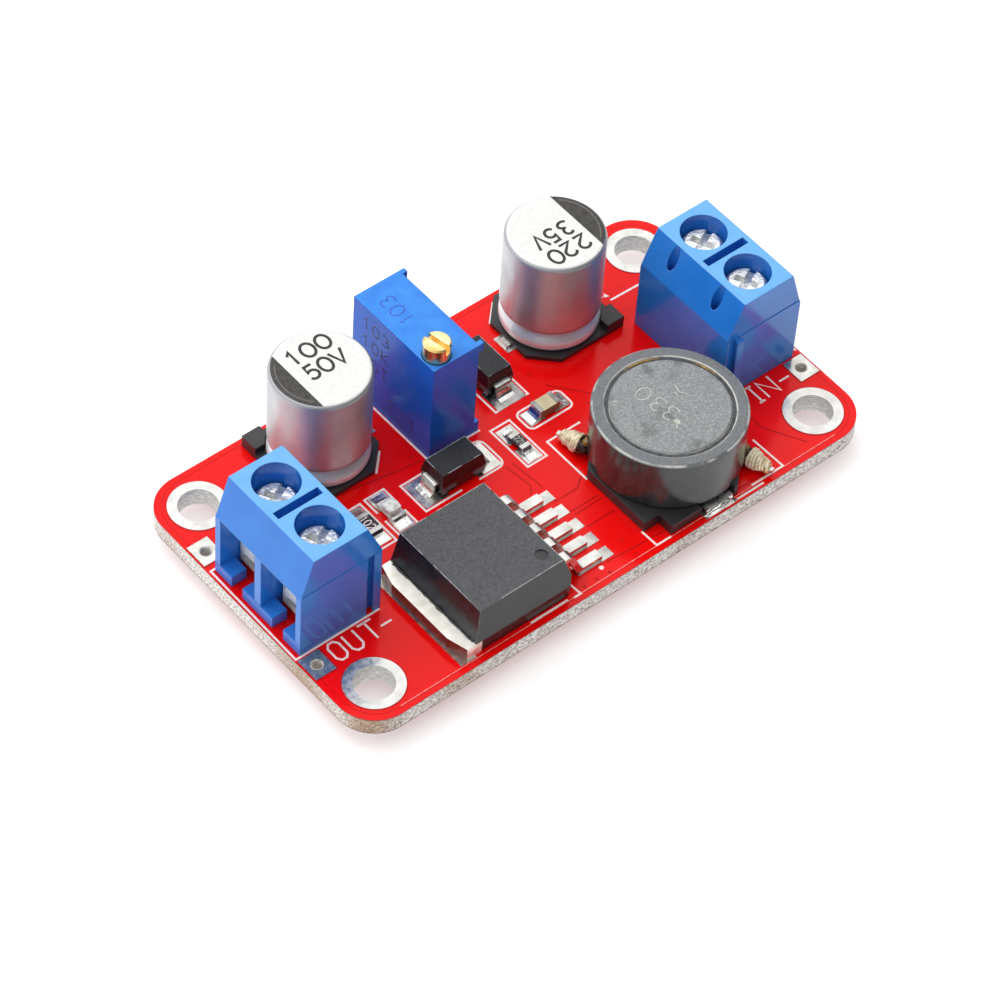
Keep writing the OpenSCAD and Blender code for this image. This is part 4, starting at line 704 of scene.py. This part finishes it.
def board_legend():
    """White print: the outlines of the parts, and the labels of the four wires."""
    legend = Print((0, 0, BOARD_TOP))
    for path in SILK_PATHS:
        legend.stroke(path, SILK_W)
    for outline in SILK_PATCHES:
        legend.patch(outline)
    for x0, y0, x1, y1, round_by in SILK_BOXES:
        legend.box(x0, y0, x1, y1, SILK_W, round_by)
    legend.build("board_legend", SILK)
    labels = Print((0, 0, BOARD_TOP))
    output = [("O", -22.4, 1.0), ("U", -20.9, 1.0), ("T", -19.4, 1.25)]
    for low, letters in ((LABEL_NEAR, output + [("-", -17.95, 1.0)]),
                         (LABEL_FAR, output + [("+", -17.95, 1.0)]),
                         (LABEL_NEAR, [("I", 18.95, 0.55), ("N", 19.95, 1.2), ("-", 21.6, 1.0)]),
                         (LABEL_FAR, [("I", 20.05, 0.5), ("N", 20.8, 0.9), ("+", 21.95, 0.75)])):
        labels.words(letters, low, low + LABEL_H, SILK_W)
    labels.build("board_labels", SILK)


def board_traces():
    """Copper that shows through the mask, and a glint along the front edge."""
    lines = Print((0, 0, BOARD_TOP), lift=0.008)
    lines.box(BOARD_LOW.x + EDGE_IN, BOARD_LOW.y + EDGE_IN, BOARD_HIGH.x - EDGE_IN, BOARD_HIGH.y - EDGE_IN,
              EDGE_W, EDGE_ROUND)
    for path in TRACE_PATHS:
        lines.stroke(path, TRACE_W)
    for x, y in VIAS:
        lines.stroke(circle(x, y, VIA_R), VIA_W, True)
    for x, y in FILLED_VIAS:
        lines.patch(circle(x, y, FILLED_R))
    for x, y in mounts("corner_hole"):
        lines.stroke(circle(x, y, HOLE_RING_R, 60), HOLE_RING_W, True)
    for x, y in mounts("wire_land"):
        lines.box(x - LAND_X, y - LAND_Y, x + LAND_X, y + LAND_Y, LAND_W)
    lines.build("mask_lines", MASK_EDGE)
    glint = Print((0, 0, BOARD_TOP), lift=0.01)
    along = BOARD_LOW.y + EDGE_IN + GLINT_IN
    glint.stroke([(BOARD_LOW.x + GLINT_END, along), (BOARD_HIGH.x - GLINT_END, along)], EDGE_W)
    glint.build("mask_glint", MASK_GLINT)


def lathe(x, y, profile, steps, first=0):
    """Points and faces of a closed ring, its profile given as radius and height."""
    verts, faces = [], []
    for reach, z in profile:
        for k in range(steps):
            a = 2 * math.pi * k / steps
            verts.append((x + reach * math.cos(a), y + reach * math.sin(a), z))
    for ring in range(len(profile)):
        here, ahead = first + ring * steps, first + (ring + 1) % len(profile) * steps
        for k in range(steps):
            after = (k + 1) % steps
            faces.append((here + k, here + after, ahead + after, ahead + k))
    return verts, faces


def wire_barrels():
    """Plated walls of the four small wire holes, with a lip over the land."""
    steps, r = 24, WIRE_HOLE_R
    lip, inner, back, foot = r + 0.06, r - 0.05, r - 0.005, BOARD_LOW.z + 0.02
    profile = [(lip, LAND_TOP + 0.012), (r, LAND_TOP + 0.005), (inner, LAND_TOP - 0.06), (inner, foot),
               (back, foot), (back, LAND_TOP - 0.02), (lip, LAND_TOP + 0.002)]
    verts, faces = [], []
    for x, y in mounts("wire_land"):
        ring_verts, ring_faces = lathe(x, y, profile, steps, len(verts))
        verts += ring_verts
        faces += ring_faces
    piece("wire_barrels", verts, faces, BARREL, smooth=True)


board_legend()
board_traces()
wire_barrels()

# Printed tops of the can capacitors

CAN_PRINT_TURN, CAN_PRINT_T = 28, 0.005
CAN_PRINT_LIFT, CAN_GLINT_LIFT, CAN_SEGMENT_LIFT = 0.006, 0.008, 0.012
CAN_GLINT_IN, CAN_GLINT_W, CAN_GLINT_END = 0.16, 0.1, 9
CAN_LETTER_H, CAN_LETTER_W = 1.4, 0.24


def can_top(end, facing, chord, rows):
    """White print over the top and the start of the shoulder, a dark segment with a painted highlight along
    its rim, and two values.
    """
    node = f"{end}_capacitor_can"
    low, high = span(node)
    centre = middle(node)
    flat = (high.x - low.x) / 2 - CAN_SHOULDER
    rings = [(flat + CAN_SHOULDER * math.sin(a), -CAN_SHOULDER * (1 - math.cos(a)))
             for a in (math.radians(CAN_PRINT_TURN * k / 4) for k in range(5))]
    steps, ink_t = 48, 0.01

    def sheet(name, cut, lift, finish):
        """A thin skin over the top beyond cut, or over all of it with no cut."""
        row = steps + 1 if cut else steps
        verts, faces = [], []
        for out in (lift, lift - CAN_PRINT_T):
            for r, drop in rings:
                half = math.acos(cut / r) if cut else math.pi
                for k in range(row):
                    a = half * (2 * k / steps - 1)
                    x, y = facing * r * math.cos(a), facing * r * math.sin(a)
                    verts.append((centre.x + x, centre.y + y, high.z + drop + out))
        inner = range(len(rings) - 1)
        size = row * len(rings)
        for first in (0, size):
            faces.append(tuple(range(first, first + row)))
            for ring in inner:
                for k in range(steps):
                    a, b = first + ring * row + k, first + ring * row + (k + 1) % row
                    faces.append((a, b, b + row, a + row))
        edge = list(range(size - row, size))
        if cut:
            edge += [ring * row + steps for ring in reversed(inner)] + [ring * row for ring in inner]
        faces += [(a, b, b + size, a + size) for a, b in zip(edge, edge[1:] + edge[:1])]
        piece(name, verts, faces, finish)

    sheet(f"{end}_can_print", None, CAN_PRINT_LIFT, CAN_WHITE)
    sheet(f"{end}_can_segment", chord, CAN_SEGMENT_LIFT, SEGMENT)
    # painted highlight: a paler arc just inside the segment's curved edge
    rim_glint = Print((centre.x, centre.y, high.z + CAN_GLINT_LIFT), (facing, 0, 0), (0, facing, 0), ink_t)
    half = math.degrees(math.acos(chord / flat)) - CAN_GLINT_END
    rim_glint.stroke(arc(0, 0, flat - CAN_GLINT_IN, flat - CAN_GLINT_IN, -half, half, 30), CAN_GLINT_W)
    rim_glint.build(f"{end}_can_glint", SEGMENT_GLINT)
    values = Print((centre.x, centre.y, high.z + CAN_PRINT_LIFT), (-facing, 0, 0), (0, -facing, 0), ink_t)
    for letters, row_low in rows:
        values.words(letters, row_low, row_low + CAN_LETTER_H, CAN_LETTER_W)
    values.build(f"{end}_can_values", INK)


can_top("output", -1, 2.2, (([("1", -1.5, 0.8), ("0", -0.25, 1.1), ("0", 1.15, 1.1)], 1.25),
                            ([("5", -1.2, 0.85), ("0", -0.05, 1.05), ("V", 1.2, 1.1)], -0.65)))
can_top("input", 1, 2.05, (([("2", -1.45, 0.9), ("2", -0.1, 0.9), ("0", 1.1, 1.05)], 1.3),
                          ([("3", -1.25, 0.8), ("5", 0.1, 0.8), ("V", 1.15, 1.0)], -0.6)))

# Marks on the small parts

DIMPLE_IN, DIMPLE_DEPTH, DIMPLE_R = 1.72, 0.12, 0.52


def chip_marks():
    """The values on the two chip resistors, and the floor of the dimple in the regulator."""
    led = [("1", -0.62, 0.24), ("0", -0.22, 0.36), ("2", 0.28, 0.34)]
    feedback = [("2", -0.42, 0.24), ("2", -0.08, 0.24), ("1", 0.22, 0.2)]
    for name, letters, half, width, finish in (("led_resistor", led, 0.33, 0.09, SILK),
                                               ("feedback_resistor", feedback, 0.24, 0.06, SCRATCH)):
        centre = middle(f"{name}_body")
        top = span(f"{name}_body")[1].z
        mark = Print((centre.x, centre.y, top), (0, -1, 0), (1, 0, 0), 0.008)
        mark.words(letters, -half, half, width)
        mark.build(f"{name}_mark", finish)
    low, high = span("regulator_body")
    dimple = Print((high.x - DIMPLE_IN, low.y + DIMPLE_IN, high.z - DIMPLE_DEPTH), lift=0.012)
    dimple.patch(arc(0, 0, DIMPLE_R, DIMPLE_R, 0, 345, 24))
    dimple.build("regulator_dimple", DIMPLE)


def package_edge_glints():
    """Painted highlights: pale stretches along the top edges of the moulded packages."""
    width, step, shortest, sharp, least = 0.06, 0.2, 0.6, 0.5, -0.2
    for part in frame["record"]["subparts"]:
        if part["material_slot"] != "package_black":
            continue
        name = part["node"]
        node = frame["nodes"][name]
        top, centre = span(name)[1].z, middle(name).to_2d()
        shape = bmesh.new()
        shape.from_mesh(node.data)
        bmesh.ops.remove_doubles(shape, verts=shape.verts, dist=0.001 * MM)
        # painted highlight: thin pale strokes just inside each top edge
        glints = Print((0, 0, top - 0.004), lift=0.01)
        for edge in shape.edges:
            ends = [node.matrix_world @ v.co / MM for v in edge.verts]
            start, end = (p.to_2d() for p in ends)
            length = (end - start).length
            sunk = min(p.z for p in ends) < top - 0.01
            if sunk or length < shortest or edge.calc_face_angle(0.0) < sharp:
                continue
            inward = Vector((start.y - end.y, end.x - start.x)).normalized() * width / 2
            if inward.dot(centre - start) < 0:
                inward = -inward
            steps = int(length / step)
            run = []
            for k in range(steps + 1):
                # a quarter step in from both ends, so that strokes share no face
                p = start.lerp(end, (k + 0.25) / (steps + 0.5)) + inward
                glinting = noise.noise(Vector((p.x * 0.6, p.y * 0.6, 3.0))) > least
                if glinting:
                    run.append(p)
                if k == steps or not glinting:
                    if len(run) > 1:
                        glints.stroke(run, width)
                    run = []
        shape.free()
        glints.build(f"{name}_rub", EDGE_GLINT)


def trimmer_marks():
    """Generic values on the top and one side of the trimmer, and the digits of its pins."""
    low, high = span("trimmer_housing")
    centre = middle("trimmer_housing")
    top = Print((centre.x, centre.y, high.z), (0, 1, 0), (-1, 0, 0), 0.006)
    top.words([("1", 0.35, 0.5), ("0", 1.25, 0.85), ("3", 2.45, 0.75)], 0.1, 1.35, 0.14)
    top.build("trimmer_value", ENGRAVED_TOP)
    side = Print((low.x, centre.y, low.z), (0, -1, 0), (0, 0, 1), 0.006)
    height = high.z - low.z
    left, pitch, wide, tall = -3.6, 1.15, 0.75, 1.15
    for row, drop in (("103", 2.3), ("10K", 4.2), ("25T", 6.1)):
        letters = [(letter, left + pitch * k, wide) for k, letter in enumerate(row)]
        side.words(letters, height - drop, height - drop + tall, 0.13)
    half = 0.3
    for digit, place in (("1", 2.54), ("2", 0.0), ("3", -2.54)):
        side.words([(digit, place - half, 2 * half)], 1.4, 2.3, 0.1)
    side.build("trimmer_digits", ENGRAVED_SIDE)


COIL_MARK = Vector((8.86, -6.37, COIL_TOP))
COIL_MARK_TURN = math.radians(98)


def coil_marks():
    """The faint value on the coil's core, a few scratches and a dot."""
    c, s = math.cos(COIL_MARK_TURN), math.sin(COIL_MARK_TURN)
    mark = Print(COIL_MARK, (c, s, 0), (-s, c, 0), 0.005)
    mark.words([("3", -1.7, 0.85), ("3", -0.42, 0.85), ("0", 0.96, 1.0)], -0.65, 0.75, 0.075)
    for path in ([(-0.9, -2.3), (-0.3, -2.0), (0.5, -2.35)], [(-0.6, -1.6), (-0.1, -1.75)],
                 [(-2.6, 0.9), (-2.3, 0.5)], [(2.3, 1.9), (2.6, 2.3)]):
        mark.stroke(path, 0.07)
    mark.patch(arc(-2.18, 0.35, 0.26, 0.22, 0, 330, 11))
    mark.build("coil_value", SCRATCH)


def blob(name, centre, radii, finish, seed, rough=0.35, rings=14, steps=22, square=1.0):
    """A lumpy rounded drop, with a smaller square nearer to a box with soft corners."""
    def squared(value):
        return math.copysign(abs(value) ** square, value)

    verts, faces = [], []
    for i in range(rings + 1):
        tilt = math.pi * i / rings
        for k in range(steps if 0 < i < rings else 1):
            turn = 2 * math.pi * k / steps
            out = squared(math.sin(tilt))
            way = Vector((out * squared(math.cos(turn)), out * squared(math.sin(turn)),
                          squared(math.cos(tilt))))
            size = 1 + rough * noise.noise(way * 1.7 + Vector((seed, seed, seed)))
            verts.append(tuple(centre[j] + radii[j] * way[j] * size for j in range(3)))
    last = len(verts) - 1
    for k in range(steps):
        after = (k + 1) % steps
        faces += [(0, 1 + k, 1 + after), (last, last - steps + k, last - steps + after)]
        for i in range(rings - 2):
            a, b = 1 + i * steps + k, 1 + i * steps + after
            faces.append((a, b, b + steps, a + steps))
    return piece(name, verts, faces, finish, smooth=True)


def tube(first, rows, around):
    """Faces of a closed tube of rows of points, the first row starting at the point first."""
    faces = []
    for k in range(rows - 1):
        for j in range(around):
            a, b = first + k * around + j, first + k * around + (j + 1) % around
            faces.append((a, b, b + around, a + around))
    last = first + (rows - 1) * around
    return faces + [tuple(range(first, first + around)), tuple(range(last, last + around))]


def coil_filler():
    """Resin that fills the groove round the core to just below its top."""
    inner, outer = COIL_R - 0.02, RING_R - RING_WALL + 0.1
    top = COIL_TOP - 0.09
    low = top - 0.3
    profile = [(inner, top), (outer, top), (outer, low), (inner, low)]
    verts, faces = lathe(COIL.x, COIL.y, profile, 96)
    piece("coil_filler", verts, faces, FILLER)


def coil_glue():
    """Glue left in two stretches of the groove round the core."""
    r = COIL_R + 0.12
    top = COIL_TOP - 0.1
    verts, faces = [], []
    around, steps, fattest, thinnest = 6, 16, 0.1, 0.02
    for start, end in ((58, 96), (4, 28)):
        first = len(verts)
        for k in range(steps + 1):
            a = math.radians(start + (end - start) * k / steps)
            uneven = 0.03 * noise.noise(Vector((a * 9, start, 0)))
            fat = max(fattest * math.sin(math.pi * k / steps) ** 0.5 + uneven, thinnest)
            for j in range(around):
                t = 2 * math.pi * j / around
                reach = r + fat * math.cos(t)
                x, y = reach * math.cos(a), reach * math.sin(a)
                verts.append((COIL.x + x, COIL.y + y, top + fat * math.sin(t)))
        faces += tube(first, steps + 1, around)
    piece("coil_glue", verts, faces, GLUE, smooth=True)


# The near arm of the winding, seen from the coil's middle, and places along it
ARM_FOOT = Vector((4.07, -2.13, 0))
ARM_WAY = Vector((0.2756, -0.9613, 0))
ARM_Z = LAND_TOP + 0.72
WRAP_AT, WRAP_LONG, WRAP_R, WRAP_TAPER = 2.4, 1.6, 0.76, 0.42
VARNISH_AT, STAIN_AT, STAIN_Z = 2.1, 1.75, LAND_TOP + 1.35


def coil_ends():
    """A loose outer layer of wire on each wrapped arm, and burnt varnish where the arm leaves the ring."""
    wire, around, turns, per_turn = 0.13, 8, 6.5, 20
    lowest = LAND_TOP + wire + 0.01
    for name, way in ENDS:
        along = ARM_WAY * way
        across = Vector((-along.y, along.x, 0))
        foot = Vector((COIL.x, COIL.y, ARM_Z)) + ARM_FOOT * way
        path = []
        for k in range(int(turns * per_turn) + 1):
            t = k / (turns * per_turn)
            a = 2 * math.pi * k / per_turn
            loose = 0.12 * noise.noise(Vector((a * 0.4, 7.0 * way, 2.0)))
            strayed = 0.09 * noise.noise(Vector((a * 0.5, way, 0.0)))
            reach = WRAP_R - WRAP_TAPER * t ** 1.5 + loose
            p = foot + along * (WRAP_AT + WRAP_LONG * t + strayed)
            p = p + across * reach * math.cos(a) + Vector((0, 0, reach * math.sin(a)))
            path.append(Vector((p.x, p.y, max(p.z, lowest))))
        verts = []
        for k, p in enumerate(path):
            ahead = (path[min(k + 1, len(path) - 1)] - path[max(k - 1, 0)]).normalized()
            side = ahead.cross(along).normalized()
            over = ahead.cross(side)
            for j in range(around):
                t = 2 * math.pi * j / around
                verts.append(p + (side * math.cos(t) + over * math.sin(t)) * wire)
        faces = tube(0, len(path), around)
        piece(f"coil_wrap_{name}", verts, faces, TINNED_WIRE, smooth=True)
        root = foot + along * VARNISH_AT
        blob(f"coil_varnish_{name}", (root.x, root.y, ARM_Z), (0.8, 0.7, 0.7), FLUX,
             3.0 * way)
        stain = foot + along * STAIN_AT
        blob(f"coil_stain_{name}", (stain.x, stain.y, STAIN_Z), (0.4, 0.36, 0.4), GLUE,
             5.0 * way)


def coil_solder():
    """Lumps of solder over the coil's two soldered terminals."""
    for name, way in ENDS:
        place = (COIL.x - 0.3 * way, COIL.y - 6.42 * way, LAND_TOP + 0.28)
        blob(f"coil_solder_{name}", place, (1.35, 0.28, 0.32), FINISH["solder"], 6.0 + way)


def mould_flash():
    """Thin torn edge of the moulding on the regulator's tab."""
    low, high = span("regulator_body")
    tab_top = span("regulator_tab")[1].z
    inner, outer, end, steps = low.x + 0.15, low.x - 0.08, 0.35, 60
    edge = []
    for k in range(steps + 1):
        y = low.y + end + (high.y - low.y - 2 * end) * k / steps
        torn = 0.14 * abs(noise.noise(Vector((y * 1.3, 0.4, 8.0))))
        nicked = 0.07 * abs(noise.noise(Vector((y * 5.1, 3.0, 1.0))))
        edge.append((outer - torn - nicked, y))
    flash = Print((0, 0, tab_top), lift=0.05)
    flash.patch([(inner, edge[0][1])] + edge + [(inner, edge[-1][1])])
    flash.build("mould_flash", FINISH["package_black"])


def lamp():
    """The lens as cast resin with soft corners, and under it the small die with its bond wire."""
    low, high = span("led_lens")
    centre = middle("led_lens")
    lens = blob("lamp_lens", centre, (high - low) / 2, FINISH["lens_clear"], 2.0,
                rough=0.05, rings=24, steps=40, square=0.45)
    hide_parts("led_lens")
    die = Print((centre.x, centre.y, span("led_body")[1].z), lift=0.06)
    half = 0.17
    die.patch([(-half, -half), (half, -half), (half, half), (-half, half)])
    die.stroke([(0.0, 0.12), (0.05, 0.42)], 0.06)
    die.build("lamp_chip", FINISH["wiper_brass"])


chip_marks()
package_edge_glints()
trimmer_marks()
coil_marks()
coil_filler()
coil_glue()
coil_ends()
coil_solder()
mould_flash()
lamp()

# Floor, light and camera


def floor():
    """A wide white floor just under the part."""
    half, steps, under = 2500.0, 2, -0.01
    row = steps + 1
    verts = [(half * (2 * i / steps - 1), half * (2 * k / steps - 1), under)
             for i in range(row) for k in range(row)]
    corners = [i * row + k for i in range(steps) for k in range(steps)]
    faces = [(a, a + 1, a + row + 1, a + row) for a in corners]
    f = Finish("floor_white", Roughness=0.7, Emission_Strength=0.4)
    f.put("Emission Color", (1.0, 1.0, 1.0))
    f.put("Base Color", f.shades(f.clouds(300.0), "#D8D8D8", "#DCDCDC"))
    obj = made("floor", verts, faces, f)


# The light's place, size and target in metres, its power, and the side from which the sky is brightest
LIGHT_PLACE, LIGHT_SIZE, LIGHT_POWER = Vector((-0.05, 0.25, 0.6)), (0.4, 0.4), 0.8
LIGHT_TARGET = Vector((0, 0, 0.004))
BRIGHT_SIDE = Vector((-0.2, 0.5, 0.84))


def softbox():
    """One weak square light from above and behind."""
    light = bpy.data.lights.new("top_light", "AREA")
    light.shape = "RECTANGLE"
    light.size, light.size_y = LIGHT_SIZE
    light.energy = LIGHT_POWER
    obj = shown("top_light", light)
    obj.location = LIGHT_PLACE
    obj.rotation_euler = (LIGHT_TARGET - LIGHT_PLACE).to_track_quat("-Z", "Y").to_euler()


def studio():
    """Soft light from all round, brightest from above, behind and the left."""
    scene = bpy.context.scene
    scene.view_settings.view_transform = "Standard"
    world = bpy.data.worlds.new("studio")
    world.use_nodes = True
    tree = world.node_tree
    coords = tree.nodes.new("ShaderNodeTexCoord")
    facing = tree.nodes.new("ShaderNodeVectorMath")
    facing.operation = "DOT_PRODUCT"
    facing.inputs[1].default_value = BRIGHT_SIDE
    shade = tree.nodes.new("ShaderNodeMapRange")
    for label, number in (("From Min", -0.15), ("From Max", 0.8), ("To Min", 0.02), ("To Max", 1.5)):
        shade.inputs[label].default_value = number
    tree.links.new(coords.outputs["Generated"], facing.inputs[0])
    tree.links.new(facing.outputs["Value"], shade.inputs["Value"])
    tree.links.new(shade.outputs[0], tree.nodes["Background"].inputs["Strength"])
    tree.nodes["Background"].inputs["Color"].default_value = (1.0, 1.0, 1.0, 1.0)
    scene.world = world


PHOTO_AZ, PHOTO_EL, PHOTO_ROLL = (math.radians(a) for a in (-43.114, 50.111, 4.431))
PHOTO_DISTANCE = 336.837
PHOTO_TARGET = Vector((-3.25, -2.749, BOARD_TOP))
PHOTO_LENS, SENSOR = 160.776, 36.0
NEAREST = 10.0


def camera():
    """A camera fitted to the photograph."""
    flat = math.cos(PHOTO_EL)
    back = Vector((math.sin(PHOTO_AZ) * flat, -math.cos(PHOTO_AZ) * flat, math.sin(PHOTO_EL)))
    right = Vector((0, 0, 1)).cross(back).normalized()
    up = back.cross(right)
    c, s = math.cos(PHOTO_ROLL), math.sin(PHOTO_ROLL)
    right, up = right * c + up * s, up * c - right * s
    lens = bpy.data.cameras.new("photo_camera")
    lens.lens, lens.sensor_width, lens.sensor_fit = PHOTO_LENS, SENSOR, "HORIZONTAL"
    lens.clip_start = NEAREST * MM
    obj = shown("photo_camera", lens)
    place = Matrix.Translation((PHOTO_TARGET + back * PHOTO_DISTANCE) * MM)
    obj.matrix_world = place @ Matrix((right, up, back)).transposed().to_4x4()
    bpy.context.scene.camera = obj


floor()
studio()
softbox()
camera()
